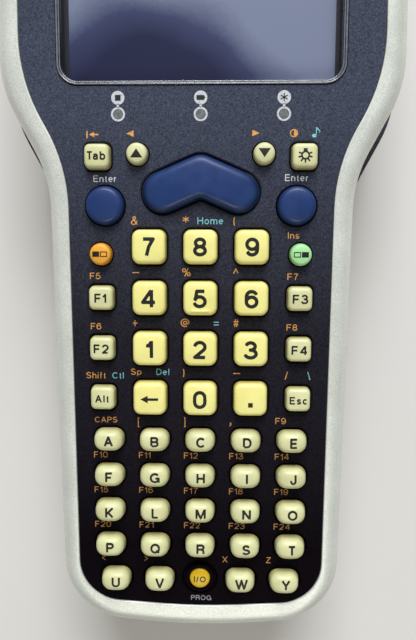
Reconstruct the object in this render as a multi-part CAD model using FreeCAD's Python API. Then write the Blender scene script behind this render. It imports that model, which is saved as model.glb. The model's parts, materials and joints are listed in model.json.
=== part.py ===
"""Handheld data collector: a keypad terminal with a wide display head and a narrower grip.

Frame: millimetres, X to the right as the keys are read, Y from the base towards the head, Z out of the face.
The origin is under the middle of the body, on the surface that its rear feet stand on.
"""

import FreeCAD, Part
import math
import os

V = FreeCAD.Vector
os.makedirs("parts", exist_ok=True)

# ---- driving sizes: body ---------------------------------------------------------------------
grip_width = 75.0  # over the rim where the grip meets the waist
base_taper = 3.8  # the rim is this much narrower just above the base corners
head_width = 98.0  # over the rim beside the display
body_depth = 36.4  # feet to the top of the rim
foot_height = 0.8
rear_depth = 23.2  # rear housing, from its back to the parting plane
wall = 2.4
face_thickness = 2.4
rim_wall = 2.2
rim_lip = 2.4
rim_proud = 0.4  # rim above the face
rim_round = 3.8  # rounding of the rim's outer edge
rim_inner_round = 0.3
base_tip = -0.55  # corners of the outer outline's base, up from the base end
base_shoulder = 2.55
base_crown = 170.0  # radii of the outer outline, base to head
base_corner = 17.0
waist_round = 29.7
head_corner = 20.0
head_crown = 150.0
face_base_tip = -2.55  # corners of the face's base, up from the rim's base
face_base_shoulder = -0.65
face_base_crown = 150.0  # radii of the face's outline, base to head
face_base_corner = 11.0
face_waist_round = 40.9
face_head_corner = 14.0
face_head_crown = 220.0
rim_side_base = 4.4  # rim as seen on the face: beside the last row
rim_side_grip = 5.2
rim_side_head = 5.5
rim_base = 8.9
rim_top = 10.9
rear_round = 7.0
waist_drop = 4.7  # the rear housing keeps its head width this much lower than the rim
nose_length = 4.5
nose_width = 62.6
nose_rise = 3.4  # rear face to the underside of the scan nose
nose_round = 3.0
seam = 0.05  # gap between mating shells
slip = 0.15  # gap between parts that nest
gasket_thickness = 0.5
shelf_width = 2.0  # of the ledge and skirt that the gasket seals

# ---- driving sizes: keypad -------------------------------------------------------------------
number_pitch = 12.5
number_key = 8.5
number_corner = 2.1
number_height = 2.7  # heights are over the face
number_crown = 42.0
number_edge = 1.0
side_key_width = 6.25
side_key_height = 6.05
side_corner = 1.4
side_height = 2.5
side_crown = 30.0
side_edge = 0.8
side_gap = 4.425  # number key to the side column
letter_pitch_x = 11.5
letter_pitch_y = 9.25
letter_key_width = 7.6
letter_key_height = 5.5
letter_corner = 2.45
letter_height = 3.5
letter_crown = 10.5
letter_edge = 0.8
last_row_pitch = 11.25
last_row_inner_x = 10.4
top_key_width = 6.35
top_key_height = 6.1
top_corner = 1.5
top_key_x = 24.8
top_key_drop = 0.6
arrow_radius = 2.65
arrow_x = 15.2
shift_radius = 2.75
shift_drop = 1.8
small_round_height = 2.5  # arrow and shift keys
small_round_crown = 8.0
small_round_edge = 0.5
enter_radius = 4.75
enter_height = 2.6
enter_crown = 22.0
enter_edge = 0.8
enter_x = 23.2
scan_lobe_radius = 5.0
scan_lobe_x = 9.25
scan_rise = 3.95
scan_notch = 1.6  # inner corner's radius
scan_height = 2.9
scan_crown = 60.0
scan_edge = 1.2
power_radius = 2.65
power_height = 0.9
power_crown = 9.0
power_edge = 0.4
power_guard_radius = 3.75
power_guard_proud = 0.45
power_guard_edge = 0.3
power_dish_radius = 4.75
power_dish_depth = 0.6
last_row_inset = 5.3
letters_to_numbers = 10.8
numbers_to_enter = 9.9
numbers_to_scan = 13.1
numbers_to_arrows = 22.1
arrows_to_leds = 9.4
leds_to_screen = 6.6
key_gap = 0.35  # key to housing all round
key_flange = 0.8
flange_thickness = 1.0
key_travel = 1.0
hole_bevel = 0.35
homing_length = 4.6  # bar under the digit of the middle key
homing_width = 0.7
homing_proud = 0.15
homing_drop = 3.0

# ---- driving sizes: display, indicators, speaker -----------------------------------------------
lcd_view_width = 64.6
lcd_view_height = 48.4
lcd_border = 2.25  # opening edge to the lit area
lcd_depth = 4.6  # face to the lit surface
lcd_thickness = 2.0
lcd_edge = 2.6
glass_thickness = 1.5
glass_overlap = 1.9
opening_corner = 5.0
bezel_width = 1.2
bezel_proud = 0.35
bezel_land = 0.35  # flat top of the bezel
frame_wall = 1.2
frame_base = 2.4
frame_slip = 0.2
lug_spread = 19.0
lug_length = 8.0
lug_reach = 2.6
forehead = 19.0
indicator_radius = 1.1
indicator_spread = 19.8
collar_width = 0.6
collar_height = 1.0
speaker_radius = 6.8
speaker_height = 4.2
speaker_edge = 0.9
magnet_height = 2.6
speaker_slot_length = 11.5
speaker_slot_width = 1.4
speaker_slot_pitch = 2.9
speaker_slots = 4

# ---- driving sizes: inside and rear ------------------------------------------------------------
mat_thickness = 1.0
mat_post_radius = 0.8
dome_radius = 2.2
dome_tip_radius = 1.5
sheet_margin = 1.2
sheet_corner = 3.0
board_thickness = 1.6
board_gap = 1.2
battery_width = 54.0
battery_length = 80.0
battery_depth = 16.5
battery_wall = 1.8
battery_edge = 1.0
cell_edge = 2.0
cell_drop = 0.4  # cells below the open side of the case
groove_count = 5
groove_pitch = 3.2
groove_radius = 0.9
battery_gap = 0.3
bay_wall = 1.6
bay_start = 23.0  # base end to the battery bay
boss_radius = 4.0
front_boss_radius = 2.6
screw_radius = 1.25
screw_head_radius = 2.7
screw_head_height = 1.8
screw_seat = 13.0  # rear face to the underside of the screw head
screw_head_gap = 0.25
screw_inset_base = 6.0
screw_inset_display = 7.7
screw_inset_head = 9.2
cross_length = 3.0
cross_width = 0.6
cross_depth = 1.0
insert_radius = 2.8
insert_wall = 1.8
insert_cap = 1.6
insert_bore = 1.65
insert_length = 7.0
insert_spacing_x = 40.0
insert_spacing_y = 30.0
foot_radius = 5.0
foot_recess = 0.8
foot_edge = 0.5
scallop_radius = 22.0
scallop_depth = 4.0
latch_width = 23.4
latch_length = 6.0
latch_travel = 3.0
latch_recess = 2.2
latch_slip = 0.3
latch_edge = 0.7
latch_frame = 3.0  # housing left beside the latch's recess
latch_ribs = 3
latch_rib_pitch = 1.5
stem_width = 9.6
stem_length = 3.0
hook_rise = 6.0  # rear face to the hook
hook_thickness = 2.0
spring_radius = 1.3
spring_wire = 0.3
spring_turns = 3.5
dock_width = 34.0
dock_height = 9.0
dock_depth = 9.0  # base end to the back of the connector
dock_inset = 2.4
dock_frame_wall = 2.0
dock_pins = 10
dock_pad_width = 1.6
dock_pad_height = 5.2
dock_pad_depth = 1.2
dock_end_margin = 3.0
scan_window_width = 46.6
scan_window_height = 14.6
scan_window_depth = 2.0
scan_window_inset = 1.2
scan_ledge = 1.5
contact_radius = 0.9
contact_pitch = 6.0
contact_count = 4
contact_inset = 7.0
standoff_radius = 2.0
engine_width = 30.0
engine_length = 22.0
shield_width = 26.0
shield_length = 26.0
shield_height = 2.4
shield_wall = 0.4
shield_x = 17.0
radio_length = 38.0
radio_height = 3.2
chip_rows = 3
chip_pitch = 22.0

# ---- places worked out from the sizes above ----------------------------------------------------
base_width = grip_width - base_taper
last_row = rim_base + last_row_inset
first_letter_row = last_row + 4 * letter_pitch_y
bottom_number_row = first_letter_row + letters_to_numbers
top_number_row = bottom_number_row + 3 * number_pitch
opening_width = lcd_view_width + 2 * lcd_border
opening_height = lcd_view_height + 2 * lcd_border
opening_bottom = top_number_row + numbers_to_arrows + arrows_to_leds + leds_to_screen
rim_inner_top = opening_bottom + opening_height + forehead
rim_outer_top = rim_inner_top + rim_top
body_length = rim_outer_top + nose_length
base_y = -body_length / 2

rear_z = foot_height
split_z = rear_z + rear_depth
rim_z = body_depth
face_z = rim_z - rim_proud
plate_z = face_z - face_thickness
step_z = plate_z - rim_lip
flange_top_z = plate_z - slip
flange_z = flange_top_z - flange_thickness
dome_height = key_travel + 0.85
mat_z = flange_z - dome_height - mat_thickness
keypad_board_z = mat_z - board_thickness
bay_roof_z = rear_z + battery_depth + battery_gap
main_board_z = bay_roof_z + bay_wall + board_gap
lcd_z = face_z - lcd_depth - lcd_thickness
lcd_width = lcd_view_width + 2 * lcd_edge
lcd_height = lcd_view_height + 2 * lcd_edge
glass_top_z = plate_z - seam
latch_y = base_y + bay_start + battery_length + 2 * battery_gap + bay_wall + 1.0
scallop_y = latch_y + latch_length + latch_travel + 12.0


def row(distance):
    """A place along the body, given its distance from the base end."""
    return base_y + distance


# ---- plane outlines ----------------------------------------------------------------------------
def rounded_loop(corners):
    """Closed wire through (x, y, radius) corners; each tangent arc is as round as its sides have room for."""
    count = len(corners)
    points = [V(x, y, 0) for x, y, radius in corners]
    halves = []
    reaches = []
    for i in range(count):
        back = points[i - 1] - points[i]
        ahead = points[(i + 1) % count] - points[i]
        halves.append(back.getAngle(ahead) / 2)
        reaches.append(corners[i][2] / math.tan(halves[i]))
    room = [(points[(i + 1) % count] - points[i]).Length / (reaches[i] + reaches[(i + 1) % count])
            for i in range(count)]
    edges = []
    first = last = None
    for i in range(count):
        here = points[i]
        back = (points[i - 1] - here).normalize()
        ahead = (points[(i + 1) % count] - here).normalize()
        reach = reaches[i] * min(1.0, room[i - 1], room[i])
        start = here + back * reach
        end = here + ahead * reach
        inward = (back + ahead).normalize()
        radius = reach * math.tan(halves[i])
        middle = here + inward * (radius / math.sin(halves[i]) - radius)
        if last is not None and last.distanceToPoint(start) > 1e-6:
            edges.append(Part.LineSegment(last, start).toShape())
        edges.append(Part.Arc(start, middle, end).toShape())
        first = first or start
        last = end
    if last.distanceToPoint(first) > 1e-6:
        edges.append(Part.LineSegment(last, first).toShape())
    return Part.Wire(edges)


def mirrored(half):
    """The right half of an outline, base to top, with its mirror image added."""
    left = [(-x, y, radius) for x, y, radius in reversed(half) if x > 0]
    return half + left


def rim_outline(drop=0.0):
    """Outer outline of the body. drop lowers the waist, as on the rear housing."""
    half = [
        (0, row(base_tip), base_crown),
        (base_width / 2, row(base_shoulder), base_corner),
        (grip_width / 2, row(top_number_row + numbers_to_enter + 6.8 - drop), waist_round),
        (head_width / 2, row(opening_bottom + 0.2 - drop), waist_round),
        (head_width / 2 - 1.0, row(rim_outer_top - 3.6), head_corner),
        (0, row(rim_outer_top + 0.5), head_crown),
    ]
    return rounded_loop(mirrored(half))


def face_outline():
    """Inner edge of the rim, which is the edge of the dark face."""
    half = [
        (0, row(rim_base + face_base_tip), face_base_crown),
        (base_width / 2 - rim_side_base, row(rim_base + face_base_shoulder), face_base_corner),
        (grip_width / 2 - rim_side_grip, row(top_number_row + numbers_to_enter + 9.7), face_waist_round),
        (head_width / 2 - rim_side_head, row(opening_bottom + 1.3), face_waist_round),
        (head_width / 2 - rim_side_head - 0.8, row(rim_inner_top - 2.4), face_head_corner),
        (0, row(rim_inner_top + 0.3), face_head_crown),
    ]
    return rounded_loop(mirrored(half))


def grown(wire, distance):
    """A wire moved outwards, or inwards where distance is below 0."""
    if abs(distance) < 1e-9:
        return wire
    return Part.Face(wire).makeOffset2D(distance).OuterWire


def slab(wire, z_low, z_high):
    """Solid between two heights over a closed wire."""
    moved = wire.copy()
    moved.translate(V(0, 0, z_low))
    return Part.Face(moved).extrude(V(0, 0, z_high - z_low))


def bevel_plug(low_wire, high_wire, z_low, z_high):
    """Solid that runs straight-sided from one wire to another of the same form."""
    low = low_wire.copy()
    low.translate(V(0, 0, z_low))
    high = high_wire.copy()
    high.translate(V(0, 0, z_high))
    return Part.makeLoft([low, high], True, True)


def rectangle(width, height, corner, x=0.0, y=0.0):
    """Rounded rectangle about (x, y)."""
    w = width / 2
    h = height / 2
    loop = [(w, -h, corner), (w, h, corner), (-w, h, corner), (-w, -h, corner)]
    return rounded_loop([(x + px, y + py, radius) for px, py, radius in loop])


def circle(radius, x=0.0, y=0.0):
    return Part.Wire([Part.Circle(V(x, y, 0), V(0, 0, 1), radius).toShape()])


def chevron():
    """Scan key outline: two round lobes joined at a raised middle, about the lobes' mid-line."""
    angle = math.atan2(scan_rise, scan_lobe_x)
    r = scan_lobe_radius
    nx = math.sin(angle)
    ny = math.cos(angle)
    lobe = V(scan_lobe_x, 0, 0)
    peak = V(0, scan_rise, 0)
    notch_y = scan_rise - r / ny
    reach = scan_notch * math.tan(angle)

    def flip(p):
        return V(-p.x, p.y, 0)

    top_in = peak + V(nx, ny, 0) * r
    top_out = lobe + V(nx, ny, 0) * r
    under_out = lobe - V(nx, ny, 0) * r
    under_in = V(reach * ny, notch_y - reach * nx, 0)
    notch_mid = V(0, notch_y - scan_notch / ny + scan_notch, 0)
    tip = lobe + V(ny, -nx, 0) * r
    edges = [
        Part.Arc(top_in, peak + V(0, r, 0), flip(top_in)).toShape(),
        Part.LineSegment(flip(top_in), flip(top_out)).toShape(),
        Part.Arc(flip(top_out), flip(tip), flip(under_out)).toShape(),
        Part.LineSegment(flip(under_out), flip(under_in)).toShape(),
        Part.Arc(flip(under_in), notch_mid, under_in).toShape(),
        Part.LineSegment(under_in, under_out).toShape(),
        Part.Arc(under_out, tip, top_out).toShape(),
        Part.LineSegment(top_out, top_in).toShape(),
    ]
    return Part.Wire(edges)


def block(x_low, x_high, y_low, y_high, z_low, z_high):
    return Part.makeBox(x_high - x_low, y_high - y_low, z_high - z_low, V(x_low, y_low, z_low))


def post(radius, x, y, z_low, z_high):
    return Part.makeCylinder(radius, z_high - z_low, V(x, y, z_low))


def fused(shapes):
    joined = shapes[0].multiFuse(shapes[1:]) if len(shapes) > 1 else shapes[0]
    return joined.removeSplitter()


def level_edges(shape, z, margin=0.01):
    """Edges that lie in the plane at height z."""
    found = []
    for edge in shape.Edges:
        box = edge.BoundBox
        if abs(box.ZMin - z) < margin and abs(box.ZMax - z) < margin:
            found.append(edge)
    return found


# ---- keys --------------------------------------------------------------------------------------
# form: outline, height above the face, crown radius, edge rounding
key_forms = {
    "number": (rectangle(number_key, number_key, number_corner), number_height, number_crown, number_edge),
    "side": (rectangle(side_key_width, side_key_height, side_corner), side_height, side_crown, side_edge),
    "top": (rectangle(top_key_width, top_key_height, top_corner), side_height, side_crown, side_edge),
    "letter": (rectangle(letter_key_width, letter_key_height, letter_corner),
               letter_height, letter_crown, letter_edge),
    "arrow": (circle(arrow_radius), small_round_height, small_round_crown, small_round_edge),
    "shift": (circle(shift_radius), small_round_height, small_round_crown, small_round_edge),
    "enter": (circle(enter_radius), enter_height, enter_crown, enter_edge),
    "scan": (chevron(), scan_height, scan_crown, scan_edge),
    "power": (circle(power_radius), power_height, power_crown, power_edge),
}


def key_solid(form):
    """One key about its own centre: a crowned cap, with the flange that keeps it in the housing."""
    wire, height, crown, edge_round = key_forms[form]
    top = face_z + height
    cap = slab(wire, flange_top_z - seam, top + 1.0)
    cap = cap.common(Part.makeSphere(crown, V(0, 0, top - crown)))
    rim = [e for e in cap.Edges if e.BoundBox.ZMin > face_z + height * 0.25]
    cap = cap.makeFillet(edge_round, rim)
    flange = slab(grown(wire, key_flange), flange_z, flange_top_z)
    return fused([cap, flange])


def keypad_places():
    """Node name to (form, [(x, y), ...])."""
    side_x = number_pitch + number_key / 2 + side_gap + side_key_width / 2
    numbers = [row(bottom_number_row + i * number_pitch) for i in range(4)]
    top = row(top_number_row)
    arrows = row(top_number_row + numbers_to_arrows)
    enter = row(top_number_row + numbers_to_enter)
    last = row(last_row)
    places = {
        "key_tab": ("top", [(-top_key_x, arrows - top_key_drop)]),
        "key_backlight": ("top", [(top_key_x, arrows - top_key_drop)]),
        "key_up": ("arrow", [(-arrow_x, arrows)]),
        "key_down": ("arrow", [(arrow_x, arrows)]),
        "key_scan": ("scan", [(0, row(top_number_row + numbers_to_scan))]),
        "key_enter_left": ("enter", [(-enter_x, enter)]),
        "key_enter_right": ("enter", [(enter_x, enter)]),
        "key_orange_shift": ("shift", [(-side_x, top - shift_drop)]),
        "key_green_shift": ("shift", [(side_x, top - shift_drop)]),
        "key_power": ("power", [(0, last)]),
    }
    pad = [["backspace", "0", "point"], ["1", "2", "3"], ["4", "5", "6"], ["7", "8", "9"]]
    for y, names in zip(numbers, pad):
        for column, name in enumerate(names):
            places["key_" + name] = ("number", [((column - 1) * number_pitch, y)])
    sides = [["alt", "esc"], ["f2", "f4"], ["f1", "f3"]]
    for y, names in zip(numbers, sides):
        for side, name in zip((-1, 1), names):
            places["key_" + name] = ("side", [(side * side_x, y)])
    for i, name in enumerate(["keys_p_to_t", "keys_k_to_o", "keys_f_to_j", "keys_a_to_e"]):
        y = row(last_row + (i + 1) * letter_pitch_y)
        places[name] = ("letter", [((c - 2) * letter_pitch_x, y) for c in range(5)])
    outer_x = last_row_inner_x + last_row_pitch
    last_xs = [-outer_x, -last_row_inner_x, last_row_inner_x, outer_x]
    places["keys_u_to_y"] = ("letter", [(x, last) for x in last_xs])
    return places


places = keypad_places()
key_points = [(form, x, y) for form, points in places.values() for x, y in points]


def key_nodes():
    solids = {form: key_solid(form) for form in key_forms}
    nodes = {}
    for name, (form, points) in places.items():
        made = []
        for x, y in points:
            key = solids[form].copy()
            key.translate(V(x, y, 0))
            made.append(key)
        nodes[name] = Part.makeCompound(made) if len(made) > 1 else made[0]
    x, y = places["key_5"][1][0]
    top = face_z + number_height
    bar = slab(rectangle(homing_length, homing_width, homing_width / 2 - 0.01, x, y - homing_drop),
               top - 0.8, top + homing_proud)
    nodes["key_5"] = fused([nodes["key_5"], bar])
    return nodes


# ---- screws, bosses and other shared places ----------------------------------------------------
screw_points = [
    (side * x, y)
    for side in (-1, 1)
    for x, y in (
        (base_width / 2 - screw_inset_base, row(last_row + letter_pitch_y / 2)),
        (head_width / 2 - screw_inset_display, row(opening_bottom + 13.0)),
        (head_width / 2 - screw_inset_head, row(rim_inner_top - 8.0)),
    )
]
insert_y = row(opening_bottom + opening_height / 2)
insert_points = [
    (sx * insert_spacing_x / 2, insert_y + sy * insert_spacing_y / 2)
    for sx in (-1, 1)
    for sy in (-1, 1)
]
led_y = row(top_number_row + numbers_to_arrows + arrows_to_leds)
led_points = [(i * indicator_spread, led_y) for i in (-1, 0, 1)]
screen_y = row(opening_bottom + opening_height / 2)
speaker_y = row(opening_bottom + opening_height + glass_overlap + speaker_radius + 0.5)
battery_low_y = row(bay_start + battery_gap)
battery_high_y = battery_low_y + battery_length
bay_low_y = row(bay_start)
bay_high_y = battery_high_y + battery_gap
dock_z = rear_z + rear_depth * 0.55
scan_z = rear_z + nose_rise + (rear_depth - nose_rise) / 2
cell_top_z = rear_z + battery_depth - cell_drop
contact_points = [((i - (contact_count - 1) / 2) * contact_pitch, bay_low_y + contact_inset)
                  for i in range(contact_count)]
foot_points = [
    (sx * x, y)
    for sx in (-1, 1)
    for x, y in (
        (base_width / 2 - rear_round - foot_radius - 3.4, row(bay_start / 2 + 1.5)),
        (head_width / 2 - rear_round - foot_radius - 8.5, row(rim_outer_top - 15.0)),
    )
]
standoff_points = [
    (sx * x, y)
    for sx in (-1, 1)
    for x, y in (
        (battery_width / 2 - 5.0, row(bay_start + 12.0)),
        (battery_width / 2 - 5.0, bay_high_y - 12.0),
        (head_width / 2 - 18.0, row(opening_bottom + 9.0)),
        (head_width / 2 - 18.0, row(rim_inner_top - 14.0)),
    )
]
engine_high_y = row(rim_outer_top - wall - 2.5)
latch_pocket_y = latch_y - latch_slip
hook_z = rear_z + hook_rise


def speaker_slot_wires():
    half = (speaker_slots - 1) / 2
    return [
        rectangle(speaker_slot_length, speaker_slot_width, speaker_slot_width / 2 - 0.01,
                  0, speaker_y + (i - half) * speaker_slot_pitch)
        for i in range(speaker_slots)
    ]


def mat_post_points():
    """Places between the keys where the front housing presses the mat onto its board."""
    found = []
    for i in range(3):
        y = row(last_row + (i + 1.5) * letter_pitch_y)
        found += [(k * letter_pitch_x / 2, y) for k in (-3, -1, 1, 3)]
        y = row(bottom_number_row + (i + 0.5) * number_pitch)
        found += [(k * number_pitch / 2, y) for k in (-1, 1)]
    return found


# ---- casings -----------------------------------------------------------------------------------
def rim_bumper():
    """Silver ring round the face: an outer wall with a lip over the front housing's step."""
    outer = rim_outline()
    ring = slab(outer, split_z + seam, rim_z)
    ring = ring.makeFillet(rim_round, level_edges(ring, rim_z))
    opening = slab(face_outline(), split_z - 1, rim_z + 1)
    ring = ring.cut(opening)
    inner = [e for e in level_edges(ring, rim_z) if opening.distToShape(e)[0] < 1e-4]
    ring = ring.makeFillet(rim_inner_round, inner)
    return ring.cut(slab(grown(outer, -rim_wall), split_z - 1, plate_z))


def front_housing():
    """Dark face with the key and display openings, a stepped edge, a skirt and screw bosses."""
    tray = grown(rim_outline(), -rim_wall - slip)
    face = grown(face_outline(), -slip)
    low_z = split_z + gasket_thickness
    tray_top = plate_z - slip
    full = fused([slab(tray, low_z, tray_top), slab(face, tray_top - 0.5, face_z)])
    skirt = grown(tray, -shelf_width)
    inner = grown(face_outline(), -slip - face_thickness)
    x, y = places["key_power"][1][0]
    dish_low = face_z - power_dish_depth
    dish = Part.makeCone(power_dish_radius - power_dish_depth, power_dish_radius, power_dish_depth,
                         V(x, y, dish_low))
    guard_top = face_z + power_guard_proud
    guard = post(power_guard_radius, x, y, dish_low - 0.5, guard_top)
    guard = guard.makeFillet(power_guard_edge, level_edges(guard, guard_top))
    full = fused([full.cut(dish), guard])
    body = full.cut(slab(skirt, low_z - 1, step_z))
    body = body.cut(slab(inner, step_z - 0.5, plate_z))
    bosses = [post(front_boss_radius, x, y, low_z, plate_z + 0.5) for x, y in screw_points]
    bosses += [post(mat_post_radius, x, y, mat_z + mat_thickness, plate_z + 0.5)
               for x, y in mat_post_points()]
    body = fused([body] + [boss.common(full) for boss in bosses])
    tools = []
    for form, x, y in key_points:
        hole = grown(key_forms[form][0], key_gap)
        made = [slab(hole, plate_z - 1, face_z + 1)]
        made.append(slab(grown(key_forms[form][0], key_flange + key_gap), step_z - 1, plate_z))
        if form != "power":
            made.append(bevel_plug(hole, grown(hole, hole_bevel), face_z - hole_bevel, face_z))
        for tool in made:
            tool.translate(V(x, y, 0))
            tools.append(tool)
    opening = rectangle(opening_width, opening_height, opening_corner, 0, screen_y)
    tools.append(slab(opening, plate_z - 1, face_z + 1))
    tools += [post(indicator_radius + slip / 2, x, y, plate_z - 1, face_z + 1) for x, y in led_points]
    tools += [slab(wire, plate_z - 1, face_z + 1) for wire in speaker_slot_wires()]
    tools += [post(screw_radius + 0.02, x, y, low_z - 1, plate_z - 1.2) for x, y in screw_points]
    return body.cut(Part.makeCompound(tools))


def rear_outer():
    """Outside of the rear housing, with the scan nose and the finger scallop."""
    shell = slab(rim_outline(waist_drop), rear_z, split_z)
    shell = shell.makeFillet(rear_round, level_edges(shell, rear_z))
    nose = block(-nose_width / 2, nose_width / 2, row(rim_outer_top - 15), row(body_length),
                 rear_z + nose_rise, split_z - seam)
    corners = [e for e in nose.Edges if abs(e.BoundBox.YMin - row(body_length)) < 0.01]
    nose = nose.makeFillet(nose_round, corners)
    return fused([shell, nose]).cut(finger_groove(0.0))


def finger_groove(allowance):
    """Round groove across the back where the fingers lie, grown by an allowance."""
    centre_z = rear_z + scallop_depth - scallop_radius
    return Part.makeCylinder(scallop_radius + allowance, head_width + 20,
                             V(-head_width / 2 - 10, scallop_y, centre_z), V(1, 0, 0))


def rear_housing():
    """Rear shell: battery bay, screw bosses, insert bosses, dock and scan window openings."""
    outer = rear_outer()
    shell_wire = grown(rim_outline(waist_drop), -wall)
    cavity = slab(shell_wire, rear_z + wall, split_z - 2.0)
    cavity = cavity.makeFillet(rear_round - wall, level_edges(cavity, rear_z + wall))
    cavity = cavity.cut(finger_groove(wall))
    mouth = slab(grown(rim_outline(), -rim_wall - slip - shelf_width), split_z - 2.1, split_z + 1)
    body = outer.cut(cavity).cut(mouth)

    w = battery_width / 2 + battery_gap
    bay = block(-w - bay_wall, w + bay_wall, bay_low_y - bay_wall, bay_high_y + bay_wall,
                rear_z, bay_roof_z + bay_wall)
    latch_half = latch_width / 2 + latch_frame
    latch_block = block(-latch_half, latch_half, bay_high_y, latch_y + latch_length + latch_travel + 2.4,
                        rear_z, rear_z + 5.8)
    dock_half = dock_width / 2 + dock_frame_wall
    dock_frame = block(-dock_half, dock_half, row(0), row(dock_depth),
                       dock_z - dock_height / 2 - 1.6, dock_z + dock_height / 2 + 1.6)
    extras = [bay, latch_block, dock_frame]
    extras += [post(boss_radius, x, y, rear_z, split_z) for x, y in screw_points]
    extras += [post(insert_radius + insert_wall, x, y, rear_z, rear_z + insert_length + insert_cap)
               for x, y in insert_points]
    extras += [post(standoff_radius, x, y, rear_z + 0.5, main_board_z) for x, y in standoff_points]
    extras.append(block(-12, 12, engine_high_y - 20, engine_high_y - 2, rear_z + 0.5, scan_z - 6.5))
    body = fused([body] + [extra.common(outer) for extra in extras])

    tools = [block(-w, w, bay_low_y, bay_high_y, rear_z - 5, bay_roof_z)]
    tools += [post(screw_head_radius + screw_head_gap, x, y, rear_z - 1, rear_z + screw_seat)
              for x, y in screw_points]
    tools += [post(screw_radius + 0.35, x, y, rear_z, split_z + 1) for x, y in screw_points]
    tools += [post(insert_radius, x, y, rear_z - 1, rear_z + insert_length) for x, y in insert_points]
    tools.append(block(-dock_width / 2, dock_width / 2, row(-3), row(dock_depth) + 1,
                       dock_z - dock_height / 2, dock_z + dock_height / 2))
    tools += scan_window_cuts()
    tools += latch_cuts()
    tools += [post(contact_radius + slip, x, y, bay_roof_z - 1, bay_roof_z + bay_wall + 1)
              for x, y in contact_points]
    tools += [post(foot_radius + slip, x, y, rear_z - 1, rear_z + foot_recess) for x, y in foot_points]
    return body.cut(Part.makeCompound(tools))


# ---- openings of the rear housing --------------------------------------------------------------
def latch_cuts():
    """Thumb recess, the slot that the latch's stem slides in, and the hook's window to the bay."""
    far = latch_y + latch_length + latch_travel + latch_slip
    recess_half = latch_width / 2 + latch_slip
    stem_half = stem_width / 2 + latch_slip
    recess = block(-recess_half, recess_half, latch_pocket_y, far, rear_z - 1, rear_z + latch_recess)
    slot = block(-stem_half, stem_half, latch_y, latch_y + stem_length + latch_travel + 0.6,
                 rear_z, rear_z + 7.0)
    window = block(-stem_half, stem_half, bay_high_y - 1, latch_y + 1,
                   hook_z - 0.2, hook_z + hook_thickness + 0.4)
    return [recess, slot, window]


def scan_window_cuts():
    """Rebate for the window and the clear way behind it."""
    end = row(body_length)
    depth = scan_window_inset + scan_window_depth
    rebate = block(-scan_window_width / 2 - slip, scan_window_width / 2 + slip, end - depth, end + 1,
                   scan_z - scan_window_height / 2 - slip, scan_z + scan_window_height / 2 + slip)
    half = scan_window_width / 2 - scan_ledge
    way = block(-half, half, end - 18, end,
                scan_z - scan_window_height / 2 + scan_ledge, scan_z + scan_window_height / 2 - scan_ledge)
    return [rebate, way]


def housing_gasket():
    """Seal on the rear housing's shelf, under the front housing's skirt."""
    outer = grown(rim_outline(), -rim_wall - slip - 0.1)
    inner = grown(rim_outline(), -rim_wall - slip - shelf_width + 0.2)
    ring = slab(outer, split_z, split_z + gasket_thickness)
    return ring.cut(slab(inner, split_z - 1, split_z + gasket_thickness + 1))


# ---- display and indicators --------------------------------------------------------------------
def display_bezel():
    """Glossy ring in the display opening; its inside slopes down to the glass."""
    edge = rectangle(opening_width - 2 * slip, opening_height - 2 * slip, opening_corner - slip, 0, screen_y)
    low = grown(edge, -bezel_width)
    high = grown(edge, -bezel_land)
    ring = slab(edge, plate_z, face_z + bezel_proud)
    return ring.cut(bevel_plug(low, high, plate_z - 0.001, face_z + bezel_proud + 0.001))


def display_window():
    """Clear cover under the opening, bonded to the back of the face."""
    wire = rectangle(opening_width + 2 * glass_overlap, opening_height + 2 * glass_overlap, 2.5, 0, screen_y)
    return slab(wire, glass_top_z - glass_thickness, glass_top_z)


def lcd_panel():
    return slab(rectangle(lcd_width, lcd_height, 0.6, 0, screen_y), lcd_z, lcd_z + lcd_thickness)


def display_frame():
    """Tray that holds the panel and its backlight against the cover."""
    room_width = lcd_width + 2 * frame_slip
    room_height = lcd_height + 2 * frame_slip
    outer = rectangle(room_width + 2 * frame_wall, room_height + 2 * frame_wall, 1.5, 0, screen_y)
    pocket = rectangle(room_width, room_height, 0.8, 0, screen_y)
    low = lcd_z - frame_base
    top = glass_top_z - glass_thickness - seam
    edge = room_width / 2 + frame_wall
    far = edge + lug_reach
    solids = [slab(outer, low, top)]
    for side in (-1, 1):
        for middle in (screen_y - lug_spread, screen_y + lug_spread):
            y_low = middle - lug_length / 2
            y_high = middle + lug_length / 2
            for near, z_high in ((edge - 1.0, top), (edge + 0.4, plate_z)):
                x_low, x_high = sorted((side * near, side * far))
                solids.append(block(x_low, x_high, y_low, y_high, low, z_high))
    return fused(solids).cut(slab(pocket, lcd_z, top + 1))


def indicator_lenses():
    lenses = []
    for x, y in led_points:
        rod = post(indicator_radius, x, y, plate_z - collar_height, face_z + 0.1)
        collar = post(indicator_radius + collar_width, x, y, plate_z - collar_height, plate_z - seam)
        lenses.append(fused([rod, collar]))
    return Part.makeCompound(lenses)


def speaker():
    """Round driver under the slots, with a dished cone."""
    low = plate_z - speaker_height
    disc = post(speaker_radius, 0, speaker_y, low, plate_z)
    dish = Part.makeCone(1.5, speaker_radius - speaker_edge, 2.5, V(0, speaker_y, plate_z - 2.45))
    magnet = post(speaker_radius * 0.55, 0, speaker_y, low - magnet_height + 0.2, low + 0.2)
    return fused([disc, magnet]).cut(dish)


# ---- keypad inside -----------------------------------------------------------------------------
def keypad_sheet(margin, z_low, z_high):
    """Flat sheet under the keys, clear of the screw bosses."""
    half_width = number_pitch + number_key / 2 + side_gap + side_key_width + sheet_margin + margin
    low = row(rim_base + 2.2 - margin)
    high = row(top_number_row + numbers_to_arrows + top_key_height / 2 + 1.6 + margin)
    sheet = slab(rectangle(2 * half_width, high - low, sheet_corner, 0, (low + high) / 2), z_low, z_high)
    for x, y in screw_points:
        sheet = sheet.cut(post(front_boss_radius + 0.5, x, y, z_low - 1, z_high + 1))
    return sheet


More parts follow.
